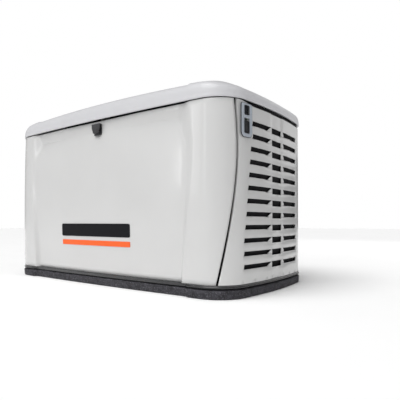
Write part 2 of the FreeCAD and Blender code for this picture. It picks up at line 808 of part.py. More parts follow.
def draw_blade(sketch):
    """One radial blade, from near the hub to the rim."""
    corners = [Vector(58, -2, 0), Vector(108, -2, 0), Vector(108, 2, 0), Vector(58, 2, 0)]
    for start, end in zip(corners, corners[1:] + corners[:1]):
        sketch.addGeometry(Part.LineSegment(start, end), False)
    for i in range(4):
        sketch.addConstraint(Sketcher.Constraint("Coincident", i, 2, (i + 1) % 4, 1))
        sketch.addConstraint(Sketcher.Constraint("Horizontal" if i % 2 == 0 else "Vertical", i))
    held = (("DistanceX", (-1, 1, 0, 1), "fan_radius - 54"), ("DistanceX", (0, 1, 0, 2), "50"),
            ("DistanceY", (0, 1, -1, 1), "2"), ("DistanceY", (1, 1, 1, 2), "4"))
    for kind, where, expression in held:
        index = sketch.addConstraint(Sketcher.Constraint(kind, *where, 10.0))
        sketch.setExpression("Constraints[%d]" % index, linked(expression))


def rotor():
    """Laminated two-pole rotor with its winding heads and slip rings."""
    left = size("rotor_left")
    length = size("rotor_length")
    core = rod(size("rotor_radius"), length - 50, axis_point(left + 25), X_AXIS)
    slots = []
    for y_side in (-1, 1):
        slots.append(block((left, left + length), (y_side * 58, y_side * 90),
                           (size("crank_height") - 26, size("crank_height") + 26)))
    heads = rod(62, length, axis_point(left), X_AXIS)
    rings = rod(30, 14, axis_point(left + length), X_AXIS)
    bore = rod(size("shaft_radius"), length + 40, axis_point(left - 10), X_AXIS)
    node("rotor", coded("rotor", one([core.cut(slots), heads, rings]).cut(bore)))


def stator():
    left = size("stator_left")
    length = size("stator_length")
    body = rod(size("stator_radius"), length, axis_point(left), X_AXIS)
    bore = rod(size("stator_bore"), length + 10, axis_point(left - 5), X_AXIS)
    grooves = []
    for i in range(24):
        turn = math.radians(15 * i + 7.5)
        centre = Vector(left + 30, math.cos(turn) * 119, size("crank_height") + math.sin(turn) * 119)
        grooves.append(rod(4, length - 60, centre, X_AXIS))
    node("stator", coded("stator", body.cut([bore] + grooves)))


def bearing_carrier():
    """End bracket of the alternator: a ring, a hub with the bearing seat, and spokes between."""
    body = design_body("bearing_carrier")
    disc = sketch_on(body, "carrier_sketch")
    draw_circle(disc, "carrier_radius")
    draw_circle(disc, "shaft_radius + journal_gap")
    padded(body, "carrier_disc", disc, "carrier_thickness")
    doc.recompute()
    window = sketch_on(body, "carrier_window_sketch", lift="carrier_thickness")
    draw_circle(window, "22", x="(carrier_radius + carrier_hub) / 2")
    hole = pocketed(body, "carrier_window", window, "carrier_thickness")
    patterned(body, "carrier_windows", hole, "8", disc)
    body.Placement = Placement(Vector(), ALONG_X)
    for axis, expression in (("x", "carrier_left"), ("z", "crank_height")):
        body.setExpression("Placement.Base." + axis, linked(expression))
    node("bearing_carrier", body)


def blower_housing():
    """Drum round the flywheel fan that joins the engine to the alternator, with air outlets."""
    left = -94
    right = size("stator_left") - 1
    outer = rod(130, right - left, axis_point(left), X_AXIS)
    inner = rod(124, right - left - 12, axis_point(left + 6), X_AXIS)
    eye = rod(84, 40, axis_point(right - 20), X_AXIS)
    hole = rod(size("shaft_radius") + 6, 40, axis_point(left - 10), X_AXIS)
    outlets = []
    for angle in (50, 130):
        outlet = block((left - 5, left + 52), (-34, 34), (90, 150))
        outlet.rotate(Vector(0, 0, 0), X_AXIS, angle - 90)
        outlet.translate(axis_point(0))
        outlets.append(outlet)
    node("blower_housing", coded("blower_housing", outer.cut([inner, eye, hole] + outlets)))


# ---------------------------------------------------------------- engine

def crankcase():
    """Hollow cast case on the crank line, with cylinder pads cut at the bank angle."""
    left, length = size("case_left"), size("case_length")
    low, high = size("case_bottom"), size("case_bottom") + size("case_height")
    half = size("case_width") / 2
    wall_size = size("case_wall")
    body = block((left, left + length), (-half, half), (low, high))
    trims = []
    for side in (-1, 1):
        trim = block((left - 5, left + length + 5), (-200, 200), (size("cylinder_base"), 300))
        trim.rotate(Vector(0, 0, 0), X_AXIS, side * size("bank_angle"))
        trim.translate(axis_point(0))
        trims.append(trim)
    body = body.cut(trims)
    hollow = rod(size("case_width") / 2 - wall_size - 8, length - 2 * wall_size,
                 axis_point(left + wall_size), X_AXIS)
    journal = rod(size("shaft_radius") + size("journal_gap"), length + 20, axis_point(left + 4), X_AXIS)
    sump = block((left + 12, left + length - 12), (-half + 20, half - 20), (low - 14, low))
    tube_y = -half - size("tube_reach")
    tube_outer = rod(9, 150, Vector(size("tube_x"), tube_y, low + 70), Z_AXIS)
    tube_inner = rod(5.5, 160, Vector(size("tube_x"), tube_y, low + 78), Z_AXIS)
    boss = block((size("tube_x") - 9, size("tube_x") + 9), (tube_y, -half + 5), (low + 70, low + 100))
    lugs = []
    for x in (left + 22, left + length - 22):
        for side in (-1, 1):
            lugs.append(block((x - 16, x + 16), (side * (half - 20), side * (half + 22)), (low, low + 12)))
    shape = one([body, sump, tube_outer, boss] + lugs).cut([hollow, journal, tube_inner])
    node("crankcase", coded("crankcase", shape))


def bank(side, shapes):
    """Tilt shapes built along Z to the front (-1) or rear (1) bank, about the crank line."""
    moved = []
    for shape in shapes:
        shape.rotate(Vector(0, 0, 0), X_AXIS, -side * size("bank_angle"))
        shape.translate(axis_point(0))
        moved.append(shape)
    return moved


def bank_x(side):
    return size("case_left") + size("case_length") / 2 + side * size("cylinder_spread")


def cylinders():
    """Two air-cooled barrels with their heads and cooling fins."""
    blocks = []
    base = size("cylinder_base") + 0.3
    top = base + size("cylinder_length")
    head_top = top + size("head_length")
    core = size("cylinder_core") / 2
    wide = size("cylinder_width") / 2
    for side in (-1, 1):
        x = bank_x(side)
        shapes = [block((x - core, x + core), (-core, core), (base, head_top))]
        pitch = (head_top - base - 16) / size("fin_count")
        for i in range(int(size("fin_count"))):
            z = base + 12 + i * pitch
            shapes.append(block((x - wide, x + wide), (-wide, wide), (z, z + size("fin_thickness"))))
        bore = rod(33, size("cylinder_length") + 5, Vector(x, 0, base - 5), Z_AXIS)
        plug = rod(6, 40, Vector(x - wide - 5, 0, top + 18), X_AXIS)
        port_low = rod(15, 60, Vector(x, side * 20, top + 14), Vector(0, side, 0))
        port_high = rod(15, 60, Vector(x, -side * 20, top + 14), Vector(0, -side, 0))
        body = one(shapes).cut([bore, plug, port_low, port_high])
        blocks += bank(side, [body])
    node("cylinders", coded("cylinders", Part.makeCompound(blocks)))


def head_top():
    return size("cylinder_base") + 0.3 + size("cylinder_length") + size("head_length")


def valve_covers():
    covers = []
    low = head_top()
    high = low + size("cover_length")
    for side in (-1, 1):
        x = bank_x(side)
        cover = block((x - 46, x + 46), (-40, 40), (low, high))
        edges = [edge for edge in cover.Edges if edge.BoundBox.ZMax > low + 1]
        cover = cover.makeFillet(9, edges)
        hollow = block((x - 41, x + 41), (-35, 35), (low, high - 6))
        shape = cover.cut(hollow)
        if side < 0:
            neck = rod(17, 16, Vector(x, 0, high - 4), Z_AXIS)
            shape = shape.fuse(neck).cut(rod(11, 60, Vector(x, 0, low), Z_AXIS))
        covers += bank(side, [shape])
    node("valve_covers", coded("valve_covers", Part.makeCompound(covers)))


def oil_cap():
    """Filler cap on the front valve cover, with grip wings and a plug that reaches into the neck."""
    x = bank_x(-1)
    high = head_top() + size("cover_length") + 12
    cap = rod(20, 10, Vector(x, 0, high + 0.4), Z_AXIS)
    wing = block((x - 17, x + 17), (-3, 3), (high + 10, high + 19))
    plug = rod(10.6, 14, Vector(x, 0, high - 12), Z_AXIS)
    node("oil_cap", coded("oil_cap", bank(-1, [one([cap, wing, plug])])[0]))


def spark_plugs():
    plugs = []
    top = size("cylinder_base") + 0.3 + size("cylinder_length")
    wide = size("cylinder_width") / 2
    for side in (-1, 1):
        x = bank_x(side)
        start = x - wide
        thread = rod(5.9, 12, Vector(start + 0.5, 0, top + 18), X_AXIS)
        shell_part = rod(9, 8, Vector(start - 8, 0, top + 18), X_AXIS)
        insulator = rod(5, 20, Vector(start - 26, 0, top + 18), X_AXIS)
        boot = rod(8, 26, Vector(start - 46, 0, top + 18), X_AXIS)
        joiner = rod(5, 4, Vector(start - 2, 0, top + 18), X_AXIS)
        plugs += bank(side, [one([thread, joiner, shell_part, insulator, boot])])
    node("spark_plugs", coded("spark_plugs", Part.makeCompound(plugs)))


def oil_filter():
    """Spin-on canister on the front of the crankcase, with a crimped base and grip flutes."""
    y = "-case_width / 2"
    spot = ("-209", y, "170")
    can = cylinder("filter_can", "filter_radius", "filter_length", spot, ALONG_MINUS_Y)
    boss = cylinder("filter_nipple", "12", "8", spot, ALONG_MINUS_Y)
    flange = cylinder("filter_flange", "filter_radius + 2", "6", spot, ALONG_MINUS_Y)
    node("oil_filter", fuse("oil_filter", can, boss, flange))


def starter_motor():
    spot = ("case_left + case_length - starter_length - 10", "case_width / 2 + starter_radius + 8", "182")
    can = cylinder("starter_can", "starter_radius", "starter_length", spot, ALONG_X)
    above = ("case_left + case_length - starter_length + 6", spot[1], "182 + starter_radius + 14")
    solenoid = cylinder("starter_solenoid", "18", "92", above, ALONG_X)
    strap_at = ("case_left + case_length - starter_length + 10", spot[1] + " - 7", "182 + starter_radius - 8")
    strap = box("starter_strap", "84", "14", "24", strap_at)
    lug = box("starter_lug", "70", "16", "40",
              ("case_left + case_length - starter_length + 20", "case_width / 2", "164"))
    node("starter_motor", fuse("starter_motor", can, solenoid, strap, lug))


def engine_cradle():
    """Two rails with cross members under the engine and the alternator, on the rubber mounts."""
    rails = []
    for side, name in ((-1, "front"), (1, "rear")):
        y = "%d * 104 - 18" % side
        rails.append(box("rail_" + name, "590", "36", "22", ("-330", y, "78")))
    for index, x in enumerate(("-330", "236")):
        rails.append(box("cross_member_%d" % index, "24", "208", "22", (x, "-104", "78")))
    feet = []
    for x in (-294, -124):
        for side in (-1, 1):
            feet.append(box("case_foot_%d_%d" % (x + 400, side + 1), "32", "30", "22.2",
                            ("%d - 16" % x, "%d * 104 - 15" % side, "99.8")))
    saddle = box("alternator_saddle", "20", "150", "23.8", ("120", "-75", "90"))
    beam = box("saddle_beam", "24", "208", "14", ("118", "-104", "80"))
    node("engine_cradle", fuse("engine_cradle", *rails, *feet, saddle, beam))


def engine_mounts():
    """Rubber pucks between the pan and the cradle."""
    pucks = []
    for index, (x, y) in enumerate(four_corners(1, 1)):
        place_x = "-35 + %d * 250" % x
        puck = cylinder("puck_%d" % index, "20", "78 - floor_top", (place_x, "%d * 104" % y, "floor_top"))
        pucks.append(puck)
    node("engine_mounts", fuse("engine_mounts", *pucks))


# ---------------------------------------------------------------- air, fuel and exhaust

def intake_manifold():
    """Mixer body over the vee with a runner down to each head's inner port."""
    x = bank_x(0)
    top = 430
    throat = rod(26, 56, Vector(x, 0, top - 42), Z_AXIS)
    flange = block((x - 36, x + 36), (-36, 36), (top + 8, top + 14))
    plenum = block((x - 30, x + 30), (-24, 24), (top - 66, top - 36))
    runners = []
    for side in (-1, 1):
        runners.append(rod(13, 39, Vector(bank_x(side), side * 12, top - 52), Vector(0, side, -0.35)))
    bore = rod(18, 80, Vector(x, 0, top - 60), Z_AXIS)
    node("intake_manifold", coded("intake_manifold", one([throat, flange, plenum] + runners).cut(bore)))


AIR_BOX = {"x": (-318, -104), "y": (-96, 96), "z": (444.2, 540)}


def air_box():
    x, y, z = AIR_BOX["x"], AIR_BOX["y"], AIR_BOX["z"]
    outer = rounded_z(x, y, z, 18)
    inner = rounded_z((x[0] + 4, x[1] - 4), (y[0] + 4, y[1] - 4), (z[0] + 4, z[1] + 5), 14)
    outlet = rod(18, 20, Vector(bank_x(0), 0, z[0] - 5), Z_AXIS)
    inlet = block((x[1] - 10, x[1] + 10), (-50, 50), (z[0] + 14, z[0] + 34))
    node("air_box", coded("air_box", outer.cut([inner, outlet, inlet])))


def rounded_z(x, y, z, radius):
    shape = block(x, y, z)
    return shape.makeFillet(radius, [edge for edge in shape.Edges if upright(edge)])


def air_filter():
    """Pleated panel filter in its rubber frame, part way up the air box."""
    x, y, z = AIR_BOX["x"], AIR_BOX["y"], AIR_BOX["z"]
    low = z[0] + 42
    frame = rounded_z((x[0] + 6, x[1] - 6), (y[0] + 6, y[1] - 6), (low, low + 34), 12)
    pleats = []
    pitch = 10.0
    count = int((x[1] - x[0] - 44) / pitch)
    for i in range(count):
        left = x[0] + 24 + i * pitch
        pleats.append(block((left, left + 5), (y[0] + 20, y[1] - 20), (low + 26, low + 36)))
    node("air_filter", coded("air_filter", frame.cut(pleats)))


def air_box_cover():
    """Lift-off cover with a rim that laps the air box."""
    x, y, z = AIR_BOX["x"], AIR_BOX["y"], AIR_BOX["z"]
    outer = rounded_z((x[0] - 3.5, x[1] + 3.5), (y[0] - 3.5, y[1] + 3.5), (z[1] - 10, z[1] + 20), 21)
    inner = rounded_z((x[0] - 0.5, x[1] + 0.5), (y[0] - 0.5, y[1] + 0.5), (z[1] - 12, z[1] + 0.3), 18.5)
    upper = rounded_z((x[0] + 4, x[1] - 4), (y[0] + 4, y[1] - 4), (z[1] - 1, z[1] + 17), 14)
    grips = []
    for left in (x[0] + 40, x[1] - 80):
        grips.append(block((left, left + 40), (-30, 30), (z[1] + 18, z[1] + 30)))
    node("air_box_cover", coded("air_box_cover", one([outer.cut([inner, upper])] + grips)))


def dipstick():
    """Looped handle, cap and blade in the crankcase's tube."""
    x = size("tube_x")
    y = -size("case_width") / 2 - size("tube_reach")
    top = size("case_bottom") + 220
    cap = rod(10, 8, Vector(x, y, top + 0.3), Z_AXIS)
    seal = rod(5.2, 14, Vector(x, y, top - 12), Z_AXIS)
    blade = block((x - 2.5, x + 2.5), (y - 0.6, y + 0.6), (top - 138, top - 10))
    ring = Part.makeTorus(11, 2.6, Vector(x, y, top + 19), Y_AXIS)
    node("dipstick", coded("dipstick", one([cap, seal, blade, ring])))


def fuel_inlet():
    """Pipe nipple through the rear panel, with its lock nut inside."""
    x, z = size("fuel_x"), size("fuel_z")
    face = Outline(size("panel_inset")).long_side(x)
    nipple = rod(size("fuel_nipple"), 60, Vector(x, face - 58, z), Y_AXIS)
    nut = hexagon_cap(26, 8, Vector(x, face - size("skin") - 9.6, z))
    bore = rod(size("fuel_bore"), 80, Vector(x, face - 70, z), Y_AXIS)
    node("fuel_inlet", coded("fuel_inlet", one([nipple, nut]).cut(bore)))


def fuel_regulator():
    """Demand regulator: a body with a round diaphragm housing, behind the rear panel."""
    x, z = size("fuel_x"), size("fuel_z")
    face = Outline(size("panel_inset")).long_side(x)
    rear = face - 58
    body = block((x - 30, x + 30), (rear - 62, rear - 0.2), (z - 26, z + 60))
    dish = rod(52, 32, Vector(x + 14, rear - 31, z + 56), Z_AXIS)
    rim = rod(58, 6, Vector(x + 14, rear - 31, z + 72), Z_AXIS)
    dome_cap = rod(20, 12, Vector(x + 14, rear - 31, z + 84), Z_AXIS)
    base = block((x - 24, x + 24), (rear - 50, rear - 16), (size("floor_top"), z - 20))
    node("fuel_regulator", coded("fuel_regulator", one([body, dish, rim, dome_cap, base])))


def rounded_path(points, radius):
    """A wire of straight runs joined by tangent arcs."""
    edges = []
    last = points[0]
    for before, corner, after in zip(points, points[1:], points[2:]):
        arrive = (corner - before).normalize()
        leave = (after - corner).normalize()
        half = arrive.getAngle(leave) / 2
        setback = radius * math.tan(half)
        start = corner - arrive * setback
        end = corner + leave * setback
        inward = (leave - arrive).normalize()
        middle = corner + inward * (radius / math.cos(half) - radius)
        edges.append(Part.makeLine(last, start))
        edges.append(Part.Arc(start, middle, end).toShape())
        last = end
    edges.append(Part.makeLine(last, points[-1]))
    return Part.Wire(edges)


def tube(points, radius, bend):
    """A solid round bar swept along a rounded path."""
    path = rounded_path(points, bend)
    circle = Part.Wire(Part.makeCircle(radius, points[0], points[1] - points[0]))
    return path.makePipeShell([circle], True, False)


def fuel_line():
    """Hose from the regulator up to the mixer's side."""
    x, z = size("fuel_x"), size("fuel_z")
    rear = Outline(size("panel_inset")).long_side(x) - 58
    route = [Vector(x - 30.1, rear - 31, z + 20), Vector(x - 110, rear - 31, z + 20),
             Vector(x - 160, rear - 40, z + 190), Vector(-40, 150, 410), Vector(bank_x(0) + 60, 0, 412),
             Vector(bank_x(0) + 26.2, 0, 412)]
    node("fuel_line", coded("fuel_line", tube(route, 9, 26)))


def exhaust_pipes():
    """Head pipes from each bank's outer port through the bulkhead to the muffler."""
    pipes = []
    for side in (-1, 1):
        x = bank_x(side)
        low = 150
        outer = side * 226
        port = size("cylinder_base") + 0.3 + size("cylinder_length") + 14
        turn = math.radians(size("bank_angle"))
        reach = size("cylinder_width") / 2
        away = Vector(0, side * math.cos(turn), -math.sin(turn))
        up = Vector(0, side * math.sin(turn), math.cos(turn))
        start = axis_point(x) + up * port + away * (reach - 22)
        knee = axis_point(x) + up * port + away * (reach + 34)
        route = [start, knee, Vector(x - 40, outer, low + 20), Vector(x - 150, side * 150, low),
                 Vector(size("muffler_x") + 10, side * 150, low)]
        pipes.append(tube(route, 14, 24))
    node("exhaust_pipes", coded("exhaust_pipes", Part.makeCompound(pipes)))


def muffler():
    """Round can across the exhaust compartment, on two saddles."""
    x = size("muffler_x")
    half = size("muffler_length") / 2
    radius = size("muffler_radius")
    z = 150
    can = rod(radius, 2 * half, Vector(x, -half, z), Y_AXIS)
    bands = [rod(radius + 3, 8, Vector(x, y, z), Y_AXIS) for y in (-half + 10, half - 18, -4)]
    saddles = [block((x - 40, x + 40), (y - 10, y + 10), (size("floor_top"), z)) for y in (-90, 90)]
    tail = rod(20, 40, Vector(x, 0, z + radius - 10), Z_AXIS)
    tail_bore = rod(16, 60, Vector(x, 0, z + radius - 5), Z_AXIS)
    ports = [rod(14.2, 80, Vector(x + 8, y, z), X_AXIS) for y in (-150, 150)]
    hollow = rod(radius - 2.5, 2 * half - 5, Vector(x, -half + 2.5, z), Y_AXIS)
    node("muffler", coded("muffler", one([can, tail] + bands + saddles).cut(ports + [tail_bore, hollow])))


# ---------------------------------------------------------------- battery and controls

def battery():
    body = design_body("battery")
    base = sketch_on(body, "battery_sketch")
    draw_rectangle(base, "battery_length", "battery_width")
    padded(body, "battery_case", base, "battery_height - 14")
    lid = sketch_on(body, "battery_lid_sketch")
    draw_rectangle(lid, "battery_length - 8", "battery_width - 8")
    padded(body, "battery_lid", lid, "battery_height")
    for axis, expression in (("x", "battery_x + battery_length / 2"), ("y", "battery_y + battery_width / 2"),
                             ("z", "floor_top + 4.2")):
        body.setExpression("Placement.Base." + axis, linked(expression))
    node("battery", body)


def battery_tray():
    """Raised plastic tray that the battery stands in."""
    outer = box("tray_outer", "battery_length + 12", "battery_width + 12", "20",
                ("battery_x - 6", "battery_y - 6", "floor_top"))
    inner = box("tray_inner", "battery_length + 1", "battery_width + 1", "20",
                ("battery_x - 0.5", "battery_y - 0.5", "floor_top + 4"))
    node("battery_tray", cut("battery_tray", outer, inner))


def battery_clamp():
    """Hold-down bar over the battery with a threaded rod and nut at each end."""
    z = "floor_top + 4.2 + battery_height"
    middle = "battery_y + battery_width / 2"
    pieces = [box("clamp_bar", "battery_length + 32", "24", "5", ("battery_x - 16", middle + " - 12", z))]
    for index, x in enumerate(("battery_x - 11", "battery_x + battery_length + 11")):
        pieces.append(cylinder("clamp_rod_%d" % index, "3", "battery_height + 18", (x, middle, "floor_top")))
        pieces.append(cylinder("clamp_nut_%d" % index, "7", "6", (x, middle, z + " + 5")))
    node("battery_clamp", fuse("battery_clamp", *pieces))


def control_top():
    return size("control_bottom") + size("control_height")


def button_spots():
    """Centres of the three mode buttons on the control housing's top."""
    x = size("control_x") + 66
    y = size("control_y") + 46
    return [(x + i * size("button_pitch"), y) for i in (-1, 0, 1)]


def control_housing():
    """Moulded control case, open underneath, with seats for the screen, buttons and breaker."""
    x = (size("control_x"), size("control_x") + size("control_length"))
    y = (size("control_y"), size("control_y") + size("control_width"))
    top = control_top()
    low = size("control_bottom")
    t = size("control_wall")
    outer = rounded_z(x, y, (low, top), 16)
    inner = rounded_z((x[0] + t, x[1] - t), (y[0] + t, y[1] - t), (low - 1, top - t), 12)
    trims = [slab(18, low - 5, top + 5, size("recess_depth"))]
    shell = outer.cut(inner).common(trims[0])
    holes = []
    for bx, by in button_spots():
        holes.append(rod(size("button_radius") + size("button_gap"), 30, Vector(bx, by, top - 15), Z_AXIS))
    holes.append(screen_seat(0.2))
    holes.append(breaker_seat(0.3))
    legs = []
    for lx in (x[0] + 32, x[1] - 20):
        legs.append(block((lx, lx + 20), (y[1] - 8, y[1] - 2), (size("floor_top"), low + 20)))
    node("control_housing", coded("control_housing", one([shell.cut(holes)] + legs)))


def screen_seat(extra):
    x = size("control_x") + 26 - extra
    y = size("control_y") + 92 - extra
    return block((x, x + 84 + 2 * extra), (y, y + 56 + 2 * extra), (control_top() - 8, control_top() + 3))


def breaker_seat(extra):
    x = size("control_x") + 170 - extra
    y = size("control_y") + 40 - extra
    return block((x, x + 76 + 2 * extra), (y, y + 110 + 2 * extra), (control_top() - 70, control_top() + 6))


def control_screen():
    node("control_screen", coded("control_screen", screen_seat(0)))


def main_breaker():
    """Two-pole breaker set in the control housing, with a slot for its toggle."""
    seat = breaker_seat(0)
    bounds = seat.BoundBox
    middle_x, middle_y = bounds.Center.x, bounds.Center.y
    levels = (bounds.ZMax - 26, bounds.ZMax + 5)
    slot = block((middle_x - 13, middle_x + 13), (middle_y - 24, middle_y + 24), levels)
    pin = rod(2, 40, Vector(middle_x - 20, middle_y, bounds.ZMax - 12), X_AXIS)
    node("main_breaker", coded("main_breaker", seat.cut(slot).fuse(pin)))


def breaker_toggle():
    bounds = breaker_seat(0).BoundBox
    x, y, z = bounds.Center.x, bounds.Center.y, bounds.ZMax - 12
    drum = rod(8, 24, Vector(x - 12, y, z), X_AXIS)
    lever = block((x - 10, x + 10), (y - 4, y + 4), (z, z + 32))
    lever.rotate(Vector(x, y, z), X_AXIS, 22)
    bore = rod(2.06, 40, Vector(x - 20, y, z), X_AXIS)
    node("breaker_toggle", coded("breaker_toggle", one([drum, lever]).cut(bore)))


def mode_buttons():
    top = control_top()
    for label, (x, y) in zip(("button_auto", "button_off", "button_manual"), button_spots()):
        button = design_body(label)
        face = sketch_on(button, label + "_sketch")
        draw_circle(face, "button_radius")
        padded(button, label + "_stem", face, "control_wall + 5")
        flange = sketch_on(button, label + "_flange_sketch")
        draw_circle(flange, "button_radius + 2")
        padded(button, label + "_flange", flange, "1.5")
        button.Placement = Placement(Vector(x, y, top - size("control_wall") - 2), Rotation())
        node(label, button)


def terminal_block():
    """Customer connection block near the conduit entry."""
    base = box("terminal_base", "96", "34", "22", ("conduit_x - 48", "232", "200"))
    posts = []
    for index in range(4):
        spot = ("conduit_x - 36 + %d * 24" % index, "238", "222")
        posts.append(box("terminal_lug_%d" % index, "14", "22", "14", spot))
    stand = box("terminal_stand", "80", "3", "163", ("conduit_x - 40", "266", "floor_top"))
    foot = box("terminal_foot", "80", "24", "3", ("conduit_x - 40", "266", "floor_top"))
    shelf = box("terminal_shelf", "80", "38", "3", ("conduit_x - 40", "231", "197"))
    node("terminal_block", fuse("terminal_block", base, stand, foot, shelf, *posts))


BUILDERS = (
    mounting_pad, base_pan, pad_bolts, panels, panel_screws, exhaust_bulkhead,
    lid_shell, lid_seal, hinge_brackets, hinge_pins, hinge_straps, lid_striker,
    lock_body, lock_barrel, lock_flap,
    window_bezel, status_lens, status_leds, shutdown_switch, shutdown_rocker, shutdown_cover,
    crankshaft, flywheel_fan, rotor, stator, bearing_carrier, blower_housing,
    crankcase, cylinders, valve_covers, oil_cap, spark_plugs, oil_filter, starter_motor,
    engine_cradle, engine_mounts, intake_manifold, air_box, air_filter, air_box_cover, dipstick,
    fuel_inlet, fuel_regulator, fuel_line, exhaust_pipes, muffler,
    battery_tray, battery, battery_clamp, control_housing, control_screen, main_breaker,
    breaker_toggle, mode_buttons, terminal_block,
)


def check_document():
    for item in doc.Objects:
        if "Invalid" in item.State or "Error" in item.State:
            raise RuntimeError("failed feature: %s %s" % (item.Name, item.State))
    for part in nodes:
        if part.Shape.isNull() or not part.Shape.isValid() or not part.Shape.Solids:
            raise RuntimeError("bad shape: " + part.Label)


def main():
    fill_sheet()
    for build in BUILDERS:
        build()
    doc.recompute()
    check_document()
    os.makedirs("parts", exist_ok=True)
    for part in nodes:
        part.Shape.exportStep(os.path.join("parts", part.Label + ".step"))
    print(len(nodes), "nodes")


main()
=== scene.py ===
import json
import math

import bmesh
import bpy
import numpy as np
from mathutils import Euler, Matrix, Vector


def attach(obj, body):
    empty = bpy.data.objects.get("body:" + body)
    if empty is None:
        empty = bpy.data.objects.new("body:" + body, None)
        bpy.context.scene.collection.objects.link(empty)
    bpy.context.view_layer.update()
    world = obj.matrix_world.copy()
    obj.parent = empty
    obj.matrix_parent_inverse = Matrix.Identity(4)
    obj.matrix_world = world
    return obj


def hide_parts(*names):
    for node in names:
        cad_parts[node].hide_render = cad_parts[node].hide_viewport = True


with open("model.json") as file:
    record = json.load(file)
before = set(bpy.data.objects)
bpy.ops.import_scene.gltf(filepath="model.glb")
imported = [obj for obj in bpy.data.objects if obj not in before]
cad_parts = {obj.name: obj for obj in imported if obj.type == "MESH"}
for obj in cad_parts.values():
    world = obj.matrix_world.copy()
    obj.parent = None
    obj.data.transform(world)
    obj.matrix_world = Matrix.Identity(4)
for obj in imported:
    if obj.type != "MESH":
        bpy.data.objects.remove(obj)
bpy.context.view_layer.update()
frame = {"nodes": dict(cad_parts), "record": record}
MM = 0.001

# ---- camera, floor and light

CAMERA_AT = (1.2493, -1.3337, 0.2419)
CAMERA_TURN = (90.7628, 0.0, 36.4933)
LENS = 36.722
SENSOR_WIDTH = 36.0
LENS_SHIFT = 0.0417
FAR_CLIP = 60.0

BRIGHT_SIDE = (0.1, -0.99, 0.0)
AMBIENT = (0.08, 0.87)  # the world's strength away from the bright side and towards it
SUN = ("daylight", (0.16, 0.62, -1.4), 1.78, 40)  # name, direction, strength, spread in degrees
SOFTBOXES = (  # name, place, aim, size, power
    ("left_softbox", (-2.8, -5.1, 1.9), (0.1, -0.3, 0.4), (0.25, 2.4), 11),
    ("front_softbox", (-0.6, -5.6, 1.9), (0.4, -0.3, 0.4), (0.35, 2.6), 7),
    ("rear_box", (0.8, 3.6, 2.0), (0, 0, 0.35), (3.0, 2.0), 12),
)
FLOOR_HALF = 14.0
FLOOR_COLOUR = (0.985, 0.985, 0.985)
CORNER_SIGNS = ((-1, -1), (1, -1), (1, 1), (-1, 1))


def show(name, data):
    """A new object for a mesh or curve, put in the scene."""
    obj = bpy.data.objects.new(name, data)
    bpy.context.collection.objects.link(obj)
    return obj


def make_camera():
    data = bpy.data.cameras.new("camera")
    data.sensor_width = SENSOR_WIDTH
    data.lens = LENS
    data.shift_y = LENS_SHIFT
    data.clip_end = FAR_CLIP
    camera = bpy.data.objects.new("camera", data)
    camera.location = CAMERA_AT
    camera.rotation_euler = [math.radians(angle) for angle in CAMERA_TURN]
    bpy.context.collection.objects.link(camera)
    bpy.context.scene.camera = camera


def add_light(data, direction, at=(0, 0, 0)):
    light = bpy.data.objects.new(data.name, data)
    light.location = at
    light.rotation_euler = Vector(direction).to_track_quat("-Z", "Y").to_euler()
    bpy.context.collection.objects.link(light)


def area_light(name, at, aim, size, power):
    data = bpy.data.lights.new(name, "AREA")
    data.shape = "RECTANGLE"
    data.size, data.size_y = size
    data.energy = power
    add_light(data, [a - b for a, b in zip(aim, at)], at)


def sun_light(name, direction, strength, spread):
    data = bpy.data.lights.new(name, "SUN")
    data.energy = strength
    data.angle = math.radians(spread)
    add_light(data, direction)


def make_world():
    """Soft light, stronger from the front, while the camera itself sees a plain white backdrop."""
    world = bpy.data.worlds.new("studio")
    world.use_nodes = True
    tree = world.node_tree
    soft = tree.nodes["Background"]
    coord = tree.nodes.new("ShaderNodeTexCoord")
    facing = tree.nodes.new("ShaderNodeVectorMath")
    facing.operation = "DOT_PRODUCT"
    facing.inputs[1].default_value = BRIGHT_SIDE
    tree.links.new(coord.outputs["Generated"], facing.inputs[0])
    strength = ranged(tree, facing.outputs["Value"], *AMBIENT, source=(-1, 1))
    tree.links.new(strength, soft.inputs["Strength"])
    backdrop = tree.nodes.new("ShaderNodeBackground")
    path = tree.nodes.new("ShaderNodeLightPath")
    mix = tree.nodes.new("ShaderNodeMixShader")
    for node in (soft, backdrop):
        node.inputs["Color"].default_value = (1, 1, 1, 1)
    backdrop.inputs["Strength"].default_value = 1.0
    tree.links.new(path.outputs["Is Camera Ray"], mix.inputs[0])
    tree.links.new(soft.outputs[0], mix.inputs[1])
    tree.links.new(backdrop.outputs[0], mix.inputs[2])
    tree.links.new(mix.outputs[0], tree.nodes["World Output"].inputs["Surface"])
    bpy.context.scene.world = world


def make_stage():
    bpy.context.scene.view_settings.view_transform = "Standard"
    bpy.context.scene.view_settings.look = "None"
    make_world()
    sun_light(*SUN)
    for softbox in SOFTBOXES:
        area_light(*softbox)
    mesh = bpy.data.meshes.new("floor")
    corners = [(x * FLOOR_HALF, y * FLOOR_HALF, 0) for x, y in CORNER_SIGNS]
    mesh.from_pydata(corners, [], [(0, 1, 2, 3)])
    floor = show("floor", mesh)
    floor.data.materials.append(surface("floor_paper", FLOOR_COLOUR, 0.85, grain=(60, 0.02), mottle=(2, 0.01)))


# ---- materials

MOTTLE_DETAIL, GRAIN_DETAIL, SPECK_DETAIL = 3.0, 4.0, 1.0
NOISE_RANGE = (0.3, 0.7)
SPECK_RANGE = (0.6, 0.68)
HOLLOW_RANGE = (0.42, 0.5)  # pointiness of hollows, which hold dirt
EDGE_RANGE = (0.515, 0.56)  # pointiness of edges, which wear
COAT_ROUGHNESS = 0.13
LEAST_ROUGHNESS = 0.02


